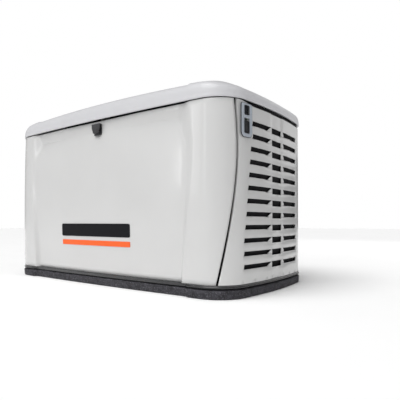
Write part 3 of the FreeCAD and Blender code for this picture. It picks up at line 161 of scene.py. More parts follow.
def noise(tree, coord, scale, detail, stretch=None):
    node = tree.nodes.new("ShaderNodeTexNoise")
    node.inputs["Scale"].default_value = scale
    node.inputs["Detail"].default_value = detail
    source = coord
    if stretch:
        mapping = tree.nodes.new("ShaderNodeMapping")
        mapping.inputs["Scale"].default_value = stretch
        tree.links.new(coord, mapping.inputs["Vector"])
        source = mapping.outputs["Vector"]
    tree.links.new(source, node.inputs["Vector"])
    return node.outputs["Fac"]


def ranged(tree, value, low, high, source=NOISE_RANGE):
    node = tree.nodes.new("ShaderNodeMapRange")
    node.inputs["From Min"].default_value, node.inputs["From Max"].default_value = source
    node.inputs["To Min"].default_value = low
    node.inputs["To Max"].default_value = high
    tree.links.new(value, node.inputs["Value"])
    return node.outputs["Result"]


def blend_colour(tree, factor, first, second):
    node = tree.nodes.new("ShaderNodeMix")
    node.data_type = "RGBA"
    tree.links.new(factor, node.inputs["Factor"])
    for socket, value in ((node.inputs[6], first), (node.inputs[7], second)):
        if isinstance(value, bpy.types.NodeSocket):
            tree.links.new(value, socket)
        else:
            socket.default_value = (*value, 1)
    return node.outputs[2]


def surface(name, colour, rough, metal=0.0, mottle=(14, 0.05), grain=(700, 0.1), stretch=None, wear=None,
            dirt=None, speckle=None, coat=0.0, depth=0.0002, spread=0.06, specular=0.5, ribs=None):
    """A node material: uneven colour, fine grain in bump and roughness, worn edges, dust and specks."""
    material = bpy.data.materials.new(name)
    material.use_nodes = True
    tree = material.node_tree
    bsdf = tree.nodes["Principled BSDF"]
    coord = tree.nodes.new("ShaderNodeTexCoord").outputs["Object"]
    patchy = ranged(tree, noise(tree, coord, mottle[0], MOTTLE_DETAIL), 0, 1)
    low = tuple(max(c * (1 - mottle[1]), 0) for c in colour)
    high = tuple(min(c * (1 + mottle[1]), 1) for c in colour)
    base = blend_colour(tree, patchy, low, high)
    fine = noise(tree, coord, grain[0], GRAIN_DETAIL, stretch)
    if speckle:
        dots = ranged(tree, noise(tree, coord, speckle[0], SPECK_DETAIL), 0, 1, SPECK_RANGE)
        base = blend_colour(tree, dots, base, speckle[1])
    if dirt:
        geometry = tree.nodes.new("ShaderNodeNewGeometry")
        hollow = ranged(tree, geometry.outputs["Pointiness"], 1, 0, HOLLOW_RANGE)
        base = blend_colour(tree, hollow, base, dirt)
    if wear:
        geometry = tree.nodes.new("ShaderNodeNewGeometry")
        edge = ranged(tree, geometry.outputs["Pointiness"], 0, wear[1], EDGE_RANGE)
        base = blend_colour(tree, edge, base, wear[0])
    tree.links.new(base, bsdf.inputs["Base Color"])
    roughness = ranged(tree, fine, max(rough - spread, LEAST_ROUGHNESS), min(rough + spread, 1))
    tree.links.new(roughness, bsdf.inputs["Roughness"])
    bsdf.inputs["Metallic"].default_value = metal
    bsdf.inputs["Specular IOR Level"].default_value = specular
    if coat:
        bsdf.inputs["Coat Weight"].default_value = coat
        bsdf.inputs["Coat Roughness"].default_value = COAT_ROUGHNESS
    bump = tree.nodes.new("ShaderNodeBump")
    bump.inputs["Strength"].default_value = grain[1]
    bump.inputs["Distance"].default_value = depth
    height = fine
    if ribs:
        wave = tree.nodes.new("ShaderNodeTexWave")
        wave.bands_direction = ribs[0]
        wave.inputs["Scale"].default_value = ribs[1]
        tree.links.new(coord, wave.inputs["Vector"])
        height = wave.outputs["Fac"]
    tree.links.new(height, bump.inputs["Height"])
    tree.links.new(bump.outputs["Normal"], bsdf.inputs["Normal"])
    return material


def powder_coat(name, colour, rough, coat, specular=0.5):
    return surface(name, colour, rough, mottle=(5, 0.018), grain=(1500, 0.05), depth=0.0001, spread=0.04,
                   coat=coat, specular=specular)


def make_materials():
    """Every finish, by the record's material slot or by the name that a piece asks for."""
    return {
        "light_panel": powder_coat("panel_powder_coat", (0.575, 0.575, 0.572), 0.34, 0.9),
        "lid_paint": powder_coat("lid_powder_coat", (0.56, 0.56, 0.578), 0.38, 0.12, 0.38),
        "composite_pad": surface("composite_pad", (0.028, 0.027, 0.033), 0.7, mottle=(60, 0.6), grain=(260, 0.6),
            depth=0.0012, speckle=(330, (0.13, 0.125, 0.14)), spread=0.1, specular=0.35),
        "black_steel": surface("black_enamel", (0.012, 0.012, 0.014), 0.24, mottle=(30, 0.2), grain=(600, 0.06),
            wear=((0.2, 0.2, 0.2), 0.35), coat=0.3),
        "zinc_steel": surface("zinc_plate", (0.66, 0.65, 0.6), 0.3, 1.0, mottle=(60, 0.12), grain=(1200, 0.12),
            wear=((0.8, 0.8, 0.78), 0.5), dirt=(0.3, 0.28, 0.24)),
        "black_plastic": surface("black_plastic", (0.018, 0.018, 0.02), 0.46, mottle=(40, 0.2), grain=(1600, 0.3),
            wear=((0.08, 0.08, 0.085), 0.5), spread=0.1),
        "grey_plastic": surface("grey_plastic", (0.36, 0.395, 0.445), 0.4, mottle=(30, 0.05), grain=(1800, 0.16),
            wear=((0.62, 0.65, 0.7), 0.5)),
        "black_rubber": surface("black_rubber", (0.02, 0.02, 0.022), 0.62, mottle=(60, 0.3), grain=(900, 0.35),
            wear=((0.06, 0.06, 0.065), 0.6), spread=0.12),
        "foam_seal": surface("foam_seal", (0.02, 0.02, 0.02), 0.92, mottle=(200, 0.4), grain=(1400, 0.9),
            depth=0.0006),
        "clear_lens": surface("smoked_lens", (0.008, 0.009, 0.012), 0.2, mottle=(40, 0.3), grain=(300, 0.02),
            specular=0.25),
        "led": surface("green_lamp", (0.12, 0.6, 0.18), 0.2, mottle=(200, 0.15), grain=(900, 0.05), coat=0.5),
        "screen": surface("screen_glass", (0.035, 0.06, 0.05), 0.08, mottle=(20, 0.15), grain=(300, 0.02), coat=0.8),
        "battery_black": surface("battery_case", (0.016, 0.016, 0.018), 0.5, mottle=(40, 0.25), grain=(1200, 0.3),
            wear=((0.07, 0.07, 0.07), 0.5)),
        "cast_alloy": surface("cast_alloy", (0.55, 0.55, 0.53), 0.42, 0.9, mottle=(35, 0.14), grain=(520, 0.45),
            depth=0.0004, dirt=(0.16, 0.15, 0.14), wear=((0.78, 0.78, 0.76), 0.4), spread=0.12),
        "steel_shaft": surface("ground_steel", (0.6, 0.6, 0.6), 0.22, 1.0, mottle=(50, 0.08), grain=(240, 0.12),
            stretch=(12, 1, 1)),
        "laminations": surface("laminations", (0.09, 0.08, 0.078), 0.4, 0.6, mottle=(40, 0.2), grain=(300, 0.5),
            ribs=("X", 320), depth=0.0005, dirt=(0.05, 0.02, 0.01)),
        "filter_paint": surface("filter_enamel", (0.8, 0.8, 0.78), 0.26, mottle=(30, 0.04), grain=(500, 0.06),
            dirt=(0.35, 0.33, 0.3), wear=((0.62, 0.62, 0.6), 0.5), coat=0.3),
        "filter_media": surface("filter_paper", (0.72, 0.62, 0.4), 0.85, mottle=(60, 0.14), grain=(900, 0.5)),
        "exhaust_steel": surface("exhaust_steel", (0.36, 0.3, 0.25), 0.38, 0.95, mottle=(18, 0.45), grain=(380, 0.3),
            speckle=(500, (0.2, 0.11, 0.07)), wear=((0.6, 0.55, 0.5), 0.4), spread=0.14),
        "galvanised": surface("galvanised", (0.6, 0.61, 0.62), 0.36, 0.95, mottle=(90, 0.22), grain=(220, 0.1),
            wear=((0.75, 0.75, 0.75), 0.4), spread=0.12),
        "hose_rubber": surface("hose_rubber", (0.02, 0.02, 0.021), 0.55, mottle=(60, 0.3), grain=(700, 0.5),
            depth=0.0005),
        "gas_brass": surface("brass", (0.72, 0.55, 0.26), 0.28, 1.0, mottle=(60, 0.15), grain=(900, 0.15),
            dirt=(0.25, 0.17, 0.08)),
        "regulator_alloy": surface("die_cast", (0.46, 0.46, 0.46), 0.45, 0.85, mottle=(40, 0.12), grain=(600, 0.4),
            dirt=(0.15, 0.15, 0.14), wear=((0.7, 0.7, 0.7), 0.4)),
        "button_green": surface("green_button", (0.05, 0.33, 0.1), 0.36, mottle=(80, 0.1), grain=(1500, 0.2)),
        "button_grey": surface("grey_button", (0.3, 0.3, 0.31), 0.36, mottle=(80, 0.1), grain=(1500, 0.2)),
        "button_red": surface("red_button", (0.5, 0.03, 0.025), 0.34, mottle=(80, 0.1), grain=(1500, 0.2)),
        "ceramic": surface("ceramic", (0.85, 0.84, 0.8), 0.14, mottle=(60, 0.04), grain=(400, 0.03), coat=0.6,
            dirt=(0.4, 0.38, 0.34)),
        "dip_yellow": surface("yellow_plastic", (0.83, 0.6, 0.03), 0.35, mottle=(60, 0.06), grain=(1200, 0.2)),
        "badge_dark": surface("badge_enamel", (0.004, 0.004, 0.006), 0.6, mottle=(60, 0.15), grain=(900, 0.08),
            specular=0.15),
        "badge_orange": surface("badge_orange", (0.9, 0.125, 0.02), 0.5, mottle=(40, 0.04), grain=(1100, 0.08),
            specular=0.3),
        "label_paper": surface("label_paper", (0.78, 0.78, 0.76), 0.5, mottle=(30, 0.04), grain=(1200, 0.08)),
        "trim_dark": surface("trim_dark", (0.014, 0.015, 0.02), 0.32, mottle=(90, 0.5), grain=(700, 0.25),
            specular=0.3),
        # near-black that paints the shade seen through the louvre slots
        "louvre_shade_black": surface("louvre_shade_black", (0.006, 0.006, 0.007), 0.8, mottle=(40, 0.3), grain=(900, 0.2),
            specular=0.15),
        # near-black, used for the strips that paint the shade in the gap under the lid and in the side seams
        "gap_shade_black": surface("painted_gap_shade", (0.007, 0.007, 0.008), 0.85, mottle=(60, 0.3), grain=(900, 0.3),
            specular=0.15),
    }


# ---- enclosure surface, millimetres

HALF_LENGTH = 609.5
HALF_DEPTH = 319.0
BOW = 12.0
CORNER_RADIUS = 117.0
CORNER_X = 480.5
CORNER_Y = 190.0
PANEL_INSET = 4.0
PANEL_LOW = 45.5
CREASE = 588.0
BELLY = 475.0
PILLAR_TOP = 630.0
FACE_TOP = 629.6
SEAM_GAP = 3.8

SWELL = 3.5
SWELL_MIDDLE, SWELL_REACH = 330, 300
END_SWELL = (-150, 350)  # where the swell fades out across an end, from its front

SEAM_BEND = 480
SEAM_TURN = 24.6
SEAM_SPREAD, SEAM_SOFTENING, SEAM_LEAN = 0.15, 400, 0.0002

QUARTER_TURN = math.radians(90)
WELD_DISTANCE = 0.00005
SKIN = 2.0
LIP_STEPS = (1.0, 5.0, 12.0)  # how far in a panel's folded edge goes, row by row


def ease(t):
    t = np.clip(t, 0, 1)
    return t * t * (3 - 2 * t)


def ramp(value, start, run):
    """A smooth rise from 0 at start to 1 one run further on."""
    return ease((value - start) / run)


def swell(z):
    """How far the walls stand out at half height."""
    return SWELL * (1 - ((z - SWELL_MIDDLE) / SWELL_REACH) ** 2)


def seam_turn(z):
    """Angle of the front panel's side seam round the corner, from the end face."""
    below = np.clip(SEAM_BEND - z, 0, None)
    above = np.clip(z - SEAM_BEND, 0, None)
    return np.radians(SEAM_TURN + SEAM_SPREAD * below ** 2 / (below + SEAM_SOFTENING) + SEAM_LEAN * above ** 2)


def steps(start, end, count):
    """Even steps from start to end, without start itself."""
    return start + (end - start) * np.linspace(0, 1, count + 1)[1:]


def on_front(x, z):
    """Place and inward direction on the front's pillar line."""
    y = -(HALF_DEPTH - PANEL_INSET - BOW * (x / CORNER_X) ** 2 + swell(z))
    return x, y, np.zeros_like(x), np.ones_like(x)


def on_corner(turn, z, side=-1):
    """A point round a corner: turn is 0 on the end face and a quarter circle on the front or rear."""
    radius = CORNER_RADIUS - PANEL_INSET + (swell(z) if side < 0 else 0)
    return (CORNER_X + radius * np.cos(turn), side * (CORNER_Y + radius * np.sin(turn)),
            -np.cos(turn), -side * np.sin(turn))


def on_end(y, z):
    share = 1 - ramp(y, *END_SWELL)
    x = HALF_LENGTH - PANEL_INSET - BOW * (y / CORNER_Y) ** 2 + swell(z) * share
    return x, y, -np.ones_like(y), np.zeros_like(y)


def stack(place, z, depth):
    """Points at a depth behind places on the surface."""
    x, y, inward_x, inward_y = place
    return np.stack([x + inward_x * depth, y + inward_y * depth, z], axis=-1)


def grid(name, points, keep=None, weld=False):
    """A smooth mesh over a lattice of points; keep says which cells are solid."""
    rows, columns = points.shape[:2]
    faces = []
    for r in range(rows - 1):
        for c in range(columns - 1):
            if keep is None or keep[r, c]:
                first = r * columns + c
                faces.append((first, first + 1, first + columns + 1, first + columns))
    mesh = bpy.data.meshes.new(name)
    mesh.from_pydata((points.reshape(-1, 3) * MM).tolist(), [], faces)
    work = bmesh.new()
    work.from_mesh(mesh)
    if weld:
        bmesh.ops.remove_doubles(work, verts=work.verts, dist=WELD_DISTANCE)
    loose = [v for v in work.verts if not v.link_faces]
    bmesh.ops.delete(work, geom=loose, context="VERTS")
    for face in work.faces:
        face.smooth = True
    work.to_mesh(mesh)
    work.free()
    return show(name, mesh)


def thicken(obj, thickness, bevel=0.0, offset=-1):
    solid = obj.modifiers.new("thickness", "SOLIDIFY")
    solid.thickness = thickness * MM
    solid.offset = offset
    if bevel:
        soften(obj, bevel)


def soften(obj, width, angle=40, segments=2):
    round_off = obj.modifiers.new("edges", "BEVEL")
    round_off.width = width * MM
    round_off.segments = segments
    round_off.limit_method = "ANGLE"
    round_off.angle_limit = math.radians(angle)
    normals = obj.modifiers.new("normals", "WEIGHTED_NORMAL")
    normals.keep_sharp = False


def dress(obj, body, slot_name, material=None, replaced=()):
    """Gives a piece its material, by name or by its slot, puts it on its body, and hides the CAD nodes that it stands
    for.
    """
    obj.data.materials.clear()
    obj.data.materials.append(materials[material or slot_name])
    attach(obj, body)
    if replaced:
        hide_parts(*replaced)


# ---- front panel

# level and distance from the middle, where the recessed face ends and where the pillar begins
RECESS_INNER = ((45, 400), (300, 421), (440, 432), (500, 427), (CREASE, 390), (625, 411))
RECESS_OUTER = ((45, 417), (300, 445), (440, 459), (500, 459.5), (545, 453), (PILLAR_TOP, 446))
SLOPE_EASE = 0.4  # how much of the slope between them is rounded

FLAT_MIDDLE = 60
BELLY_DEPTH, FOOT_DEPTH, FOOT_RUN, FOOT_CURVE = 6, 9, 430, 1.3
DROP_MIDDLE, DROP_SIDES, DROP_RUN, DROP_CURVE = 6, 8, 250, 1.5
FOLD, FOLD_RUN, FOLD_HEIGHT = 8, 220, 34

LOCK_HOLE = (576.5, 607.5)
LOCK_HALF = 15.5
LOCK_COLUMNS = (0, 8, LOCK_HALF, 24, 34)
FACE_COLUMNS, SLOPE_COLUMNS, PILLAR_COLUMNS, CORNER_COLUMNS = 19, 8, 4, 15
LIP_NUDGE = 0.02
EVEN_TOP, EVEN_LEVELS = 560, 30
CREASE_HALF = 2.5
HIGHEST_LEVEL = 614
PILLAR_EDGE = (412, 30)
FRONT_TOP_LIP = ((1.0, 1.2), (4.0, 1.6), (14.0, 1.6))  # inward step and lift of the folded top edge's rows
SLACK = 0.1

# x range, level range, stand-off, columns, rows and corner radius
NAMEPLATE = ((-226, 176), (186, 236), 2.2, 60, 25, 6)
STRIPE = ((-224, 176), (151, 171), 1.6, 60, 13, 3)
NAMEPLATE_BODY, STRIPE_BODY = (2.0, 0.6), (1.4, 0.4)  # thickness and edge


def along(z, table):
    return np.interp(z, *zip(*table))


def face_depth(x, z):
    """Depth of the recessed face behind the pillars' line."""
    off_middle = np.abs(x) - FLAT_MIDDLE
    below = BELLY_DEPTH + FOOT_DEPTH * (np.clip(BELLY - z, 0, None) / FOOT_RUN) ** FOOT_CURVE
    drop = DROP_MIDDLE + DROP_SIDES * ease(off_middle / DROP_RUN)
    above = drop * (np.clip(np.minimum(z, CREASE) - BELLY, 0, None) / (CREASE - BELLY)) ** DROP_CURVE
    fold = -FOLD * ease(off_middle / FOLD_RUN) * np.clip(z - CREASE, 0, None) / FOLD_HEIGHT
    return below + above + fold


def front_columns(z):
    """Right half of the front panel's surface at a level, from the middle out to its folded side edge."""
    inner, outer = along(z, RECESS_INNER), along(z, RECESS_OUTER)
    x = np.concatenate([LOCK_COLUMNS, steps(LOCK_COLUMNS[-1], inner, FACE_COLUMNS),
                        steps(inner, outer, SLOPE_COLUMNS), steps(outer, CORNER_X, PILLAR_COLUMNS)])
    across = np.clip((x - inner) / (outer - inner), 0, 1)
    share = 1 - SLOPE_EASE * ease(across) - (1 - SLOPE_EASE) * across
    level = np.full_like(x, z)
    flat = stack(on_front(x, level), level, face_depth(x, z) * share)
    turn = steps(QUARTER_TURN, seam_turn(z) + SEAM_GAP / CORNER_RADIUS, CORNER_COLUMNS)
    level = np.full_like(turn, z)
    place = on_corner(turn, level)
    corner = stack(place, level, np.zeros_like(turn))
    tip = tuple(part[-1:] for part in place)
    lips = [stack(tip, level[-1:], np.array([step])) for step in LIP_STEPS]
    lips[0] = lips[0] + (corner[-1:] - corner[-2:-1]) * LIP_NUDGE
    return np.concatenate([flat, corner] + lips)


def front_levels():
    low = list(np.linspace(PANEL_LOW, EVEN_TOP, EVEN_LEVELS))
    return low + [LOCK_HOLE[0], CREASE - CREASE_HALF, CREASE, CREASE + CREASE_HALF, LOCK_HOLE[1], HIGHEST_LEVEL]


def mirrored(half):
    """Both halves of a row that starts on the middle plane."""
    other = half[1:][::-1] * np.array([-1, 1, 1])
    return np.concatenate([other, half])


def panel_top(x):
    return PILLAR_TOP - (PILLAR_TOP - FACE_TOP) * (1 - ramp(np.abs(x), *PILLAR_EDGE))


def every_cell(points):
    return np.ones((points.shape[0] - 1, points.shape[1] - 1), bool)


def front_panel():
    levels = front_levels()
    rows = [mirrored(front_columns(z)) for z in levels]
    last = mirrored(front_columns(FACE_TOP))
    last[:, 2] = panel_top(last[:, 0])
    rows.append(last)
    inward = np.array([0.0, 1.0, 0.0])
    for step, lift in FRONT_TOP_LIP:
        row = last.copy()
        for index, point in enumerate(last):
            centre = np.array([np.clip(point[0], -CORNER_X, CORNER_X), -CORNER_Y, point[2]])
            way = centre - point if abs(point[0]) > CORNER_X else inward
            row[index] = point + way / np.linalg.norm(way) * step + np.array([0, 0, lift])
        rows.append(row)
    points = np.array(rows)
    keep = every_cell(points)
    for r in range(len(levels) - 1):
        if LOCK_HOLE[0] - SLACK <= levels[r] and levels[r + 1] <= LOCK_HOLE[1] + SLACK:
            middle = (points[r, :-1, 0] + points[r, 1:, 0]) / 2
            keep[r, np.abs(middle) < LOCK_HALF] = False
    obj = grid("front_panel_skin", points, keep)
    thicken(obj, SKIN)
    dress(obj, "front", "light_panel", replaced=["front_panel"])


def face_patch(name, x_range, z_range, lift, columns, rows, round_off):
    """A thin plate that lies on the recessed face, with rounded ends."""
    points = []
    for z in np.linspace(*z_range, rows):
        near_edge = min(z - z_range[0], z_range[1] - z)
        cut = round_off - math.sqrt(max(round_off ** 2 - max(round_off - near_edge, 0) ** 2, 0))
        x = np.linspace(x_range[0] + cut, x_range[1] - cut, columns)
        level = np.full_like(x, z)
        points.append(stack(on_front(x, level), level, face_depth(x, level) - lift))
    return grid(name, np.array(points))


def badge():
    """A blank nameplate with a plain stripe under it."""
    blank = face_patch("nameplate", *NAMEPLATE)
    thicken(blank, *NAMEPLATE_BODY)
    dress(blank, "front", "black_plastic", "badge_dark")
    stripe = face_patch("accent_stripe", *STRIPE)
    thicken(stripe, *STRIPE_BODY)
    dress(stripe, "front", "light_panel", "badge_orange")


# ---- end panels

SLOT_ROWS = 12
SLOT_PITCH = 42.4
SLOT_TOP = 572.0
SLOT_HEIGHT = 15.0
MIDDLE_HEIGHT = 20.5
REAR_REACH = 186.0
SHORT_ROWS, SHORT_REACH = 2, 163.0  # the louvres beside the window
FRONT_REACH, REACH_STEP, STEPPED_ROWS = 174.0, 5.2, 7
UNDER_GAP, OVER_GAP = 9, 5
FOOT_LEVELS = (PANEL_LOW, 60.0, 74.0)
HEAD_LEVELS = (590.0, 604.0, 616.0)

END_REAR = 238.0
MIDDLE_HALF = 37.0
PLAIN_TIP = 46.0
TIPS = {"bottom": 68.0, "mid": 57.0, "low": 62.0}  # a louvre's inner end, level by level
COLUMN_COUNTS = (10, 9, 2, 6, 2, 9, 6)
TROUGH_DEPTH, TROUGH = 3.0, (38, 8)
SCOOPS = {"bottom": 4.5, "low": 2.2, "mid": 2.0}
SCOOP_FROM, SCOOP_SLACK = 45, 1
SCOOP_BASE, SCOOP_RISE, SCOOP_LEAD, SCOOP_RUN = 0.55, 0.6, 4, 30

SIDE_DROP, SIDE_DROP_SPAN = 11, (-245, 110)
END_TOP_LIP = ((1.0, 1.2), (4.0, 1.6), (13.0, 1.6))
WINDOW_LEVELS, WINDOW_SPAN = (521, 616), (-216, -193)
END_BEVEL = 0.45

BLADE_PROFILE = ((5.5, -7.0), (6.2, -2.0), (9.0, 5.0), (15.5, 20.0), (15.5, 23.0))  # depth, drop under the slot's top
BLADE_REAR, BLADE_MARGIN, BLADE_COLUMNS, BLADE_THICKNESS = 184, 2, 36, 1.2


def slot_outer(row, front):
    """Distance of a louvre's outer end from the middle plane."""
    if not front:
        return REAR_REACH
    return SHORT_REACH if row < SHORT_ROWS else FRONT_REACH + REACH_STEP * min(row - SHORT_ROWS, STEPPED_ROWS)


def arc_place(y):
    """Distance along the end's outline for a distance y from the middle plane."""
    if abs(y) <= CORNER_Y:
        return y
    radius = CORNER_RADIUS - PANEL_INSET
    return math.copysign(CORNER_Y + radius * math.asin((abs(y) - CORNER_Y) / radius), y)


def on_side(place, z):
    """Surface of an end panel by distance along its outline."""
    radius = CORNER_RADIUS - PANEL_INSET
    result = [np.empty_like(place) for _ in range(4)]
    for side, chosen in ((-1, place < -CORNER_Y), (1, place > CORNER_Y)):
        values = on_corner((np.abs(place[chosen]) - CORNER_Y) / radius, z[chosen], side)
        for target, value in zip(result, values):
            target[chosen] = value
    middle = np.abs(place) <= CORNER_Y
    for target, value in zip(result, on_end(place[middle], z[middle])):
        target[middle] = value
    return tuple(result)


def side_levels():
    """Levels up an end panel, each with its louvre row and its place in that row."""
    levels = [(z, SLOT_ROWS - 1, "web") for z in FOOT_LEVELS]
    for row in reversed(range(SLOT_ROWS)):
        top = SLOT_TOP - row * SLOT_PITCH
        levels.append((top - MIDDLE_HEIGHT - UNDER_GAP, row, "under"))
        levels.append((top - MIDDLE_HEIGHT, row, "low"))
        levels.append((top - SLOT_HEIGHT, row, "bottom"))
        levels.append((top - SLOT_HEIGHT / 2, row, "mid"))
        levels.append((top, row, "top"))
        levels.append((top + OVER_GAP, row, "web"))
    return levels + [(z, 0, "web") for z in HEAD_LEVELS]


def side_columns(z, row, kind):
    """One row of an end panel: its points, their places along the outline, and its louvres' ends."""
    radius = CORNER_RADIUS - PANEL_INSET
    seam = -(CORNER_Y + radius * (float(seam_turn(z)) - SEAM_GAP / CORNER_RADIUS))
    rear = arc_place(END_REAR)
    outer_front = -arc_place(slot_outer(row, True))
    outer_rear = arc_place(slot_outer(row, False))
    tip = TIPS.get(kind, PLAIN_TIP)
    keys = [seam, outer_front, -tip, -MIDDLE_HALF, MIDDLE_HALF, tip, outer_rear, rear]
    columns = [keys[0]]
    for start, end, count in zip(keys, keys[1:], COLUMN_COUNTS):
        columns += list(steps(start, end, count))
    place = np.array(columns)
    off_middle = np.abs(place)
    level = np.full_like(place, z)
    trough = TROUGH_DEPTH * (1 - ramp(off_middle, *TROUGH))
    inside = (off_middle > SCOOP_FROM) & (place > outer_front - SCOOP_SLACK) & (place < outer_rear + SCOOP_SLACK)
    near_tip = 1 - ease((off_middle - tip - SCOOP_LEAD) / SCOOP_RUN)
    scoop = np.where(inside, SCOOPS.get(kind, 0.0) * (SCOOP_BASE + SCOOP_RISE * near_tip), 0)
    return stack(on_side(place, level), level, trough + scoop), place, (outer_front, -tip, tip, outer_rear)


def side_top(y):
    return PILLAR_TOP - SIDE_DROP * ramp(y, *SIDE_DROP_SPAN)


def end_panel(name, node, x_side, skip_window):
    """A louvred end with folded top and front edges; the left end is the right one mirrored."""
    rows, marks, kinds = [], [], []
    for z, row, kind in side_levels():
        points, place, keys = side_columns(z, row, kind)
        rows.append(points)
        marks.append((place, keys))
        kinds.append((z, row, kind))
    last = rows[-1].copy()
    last[:, 2] = side_top(last[:, 1])
    rows.append(last)
    centre = np.stack([np.full(len(last), CORNER_X), np.clip(last[:, 1], -CORNER_Y, CORNER_Y), last[:, 2]], -1)
    way = centre - last
    way = way / np.linalg.norm(way, axis=1, keepdims=True)
    for step, lift in END_TOP_LIP:
        rows.append(last + way * step + np.array([0, 0, lift]))
    points = np.array(rows)
    keep = every_cell(points)
    for r, (z, row, kind) in enumerate(kinds[:-1]):
        place, keys = marks[r]
        middle = (place[:-1] + place[1:]) / 2
        if kind in ("bottom", "mid"):
            keep[r, (middle > keys[0]) & (middle < keys[1])] = False
            keep[r, (middle > keys[2]) & (middle < keys[3])] = False
        if kind in ("low", "bottom", "mid"):
            keep[r, np.abs(middle) < MIDDLE_HALF] = False
        if skip_window and WINDOW_LEVELS[0] < (z + kinds[r + 1][0]) / 2 < WINDOW_LEVELS[1]:
            y = (points[r, :-1, 1] + points[r, 1:, 1]) / 2
            keep[r, (y > WINDOW_SPAN[0]) & (y < WINDOW_SPAN[1])] = False
    edge = points[:, :1]
    way = (np.array([CORNER_X, -CORNER_Y, 0.0]) - edge) * np.array([1, 1, 0])
    way = way / np.linalg.norm(way, axis=2, keepdims=True)
    lips = [edge + way * step for step in reversed(LIP_STEPS)]
    points = np.concatenate(lips + [points], axis=1)
    keep = np.concatenate([np.ones((keep.shape[0], len(lips)), bool), keep], axis=1)
    if x_side < 0:
        points = points[:, ::-1] * np.array([-1, 1, 1])
        keep = keep[:, ::-1]
    obj = grid(name, points, keep)
    thicken(obj, SKIN, END_BEVEL)
    dress(obj, "enclosure", "light_panel", replaced=[node])


def louvre_blades(name, x_side):
    """Sloping blades behind the slots, one for each louvre row, near-black to paint the shade seen through the slots.
    """
    work = bmesh.new()
    for row in range(SLOT_ROWS):
        top = SLOT_TOP - row * SLOT_PITCH
        reach = slot_outer(row, True) + BLADE_MARGIN
        place = np.linspace(-arc_place(reach), arc_place(BLADE_REAR), BLADE_COLUMNS)
        verts = []
        for depth, drop in BLADE_PROFILE:
            level = np.full_like(place, top - drop)
            line = stack(on_side(place, level), level, np.full_like(place, depth))
            verts.append([work.verts.new((p * np.array([x_side, 1, 1]) * MM).tolist()) for p in line])
        for r in range(len(verts) - 1):
            for c in range(len(verts[0]) - 1):
                work.faces.new((verts[r][c], verts[r][c + 1], verts[r + 1][c + 1], verts[r + 1][c]))
    mesh = bpy.data.meshes.new(name)
    for face in work.faces:
        face.smooth = True
    work.to_mesh(mesh)
    work.free()
    obj = show(name, mesh)
    thicken(obj, BLADE_THICKNESS, offset=0)
    dress(obj, "enclosure", "black_plastic", "louvre_shade_black")


# ---- lid

LID_SECTION = ((12.0, 636.0), (6.0, 634.0), (1.6, 633.0), (-0.2, 634.0), (-0.8, 636.5), (-0.6, 640.0), (0.6, 643.0),
               (1.0, 650.0), (2.2, 659.0), (4.6, 667.0), (8.6, 674.0), (14.5, 680.0), (24.0, 686.0))
LID_STATIONS = (0, 60, 120, 180, 220, 258, 279, 300, 321, 342, 370, 395, 410, 420, 424, 428, 432, 440, 460, 480.5)
CROWN = 732.0
SHOULDER = 686.0
SEAM_LEVEL = 633.0
DOME_FROM, DOME_RUN, DOME_RINGS = 24, 265, 19
STRETCH_MIDDLE = 1.245
STRETCH_SIDES, STRETCH_REACH = 0.135, 440
STRETCH_ENDS, STRETCH_FADE = 0.14, (450, 130)
SOFT_LOW, SOFT_RISE, SOFT_RUN, SOFT_CURVE = 640, 82, 150, 0.42  # the softer profile along the ends
SOFT_FLOOR, SOFT_ENDS, SOFT_SIDE, SOFT_SIDE_RUN = 641, (500, 60), 200, 190
STEP_RISE, STEP = 3.5, (422, 10)  # the small step up near each front corner
STEP_EDGE, STEP_CROWN, STEP_END = (1.0, 12), (60, 160), (500, 80)  # where it fades in and out
LEAST_RADIUS = 12.0
LID_CORNER, LID_SIDE = 18, 8  # columns round a corner and from it to the middle of an end
HINGE_AT, HINGE_HALF, HINGE_REAR = 300, 42, 250
NOTCH_TOP = 667.0
LID_THICKNESS = 2.5
# the black strip on the panel tops paints the shadow in the gap under the lid; its profile, rear drop and setback
# follow
GAP_SHADE_PROFILE = ((13.0, 611.0), (9.5, 615.0), (8.6, 629.5), (10.0, 631.8), (13.0, 632.2), (17.0, 631.0),
                  (17.6, 616.0), (17.6, 611.0))
REAR_SHADE_TOP, REAR_SHADE_RUN = 622.5, (276, 14)
GAP_SHADE_SETBACK, SETBACK_EDGE, SETBACK_FRONT = 14.0, (408, 36), -200
FRONT_RUN_HALF, FRONT_RUN_Y = 577, -238


def lid_sections():
    sections = list(LID_SECTION)
    for share in steps(0, 1, DOME_RINGS):
        sections.append((DOME_FROM + DOME_RUN * share, SHOULDER + (CROWN - SHOULDER) * (1 - (1 - share) ** 2)))
    return sections


def lid_stretch(x):
    """How tall the lid's front shoulder is at a place along its length, against the plain section."""
    far = np.abs(x)
    return STRETCH_MIDDLE - STRETCH_SIDES * (far / STRETCH_REACH) ** 2 - STRETCH_ENDS * ramp(far, *STRETCH_FADE)


def lid_height(inset, level, ring):
    """Levels round one ring: the shoulder bows up in the middle and grows softer along the ends."""
    x, y = ring[:, 0], ring[:, 1]
    far = np.abs(x)
    shoulder = SEAM_LEVEL + (SHOULDER - SEAM_LEVEL) * lid_stretch(x)
    if level < SHOULDER:
        height = SEAM_LEVEL + (level - SEAM_LEVEL) * lid_stretch(x)
    else:
        height = shoulder + (CROWN - shoulder) * (level - SHOULDER) / (CROWN - SHOULDER)
    if level > SOFT_FLOOR and inset < SOFT_RUN:
        soft = SOFT_LOW + SOFT_RISE * (max(inset, 0) / SOFT_RUN) ** SOFT_CURVE
        share = ramp(far, *SOFT_ENDS) * ease((SOFT_SIDE - np.abs(y)) / SOFT_SIDE_RUN)
        height = height + (np.minimum(soft, height) - height) * share
    raised = ramp(inset, *STEP_EDGE) * (1 - ramp(inset, *STEP_CROWN)) * (1 - ramp(far, *STEP_END))
    return height + STEP_RISE * raised * ramp(far, *STEP)


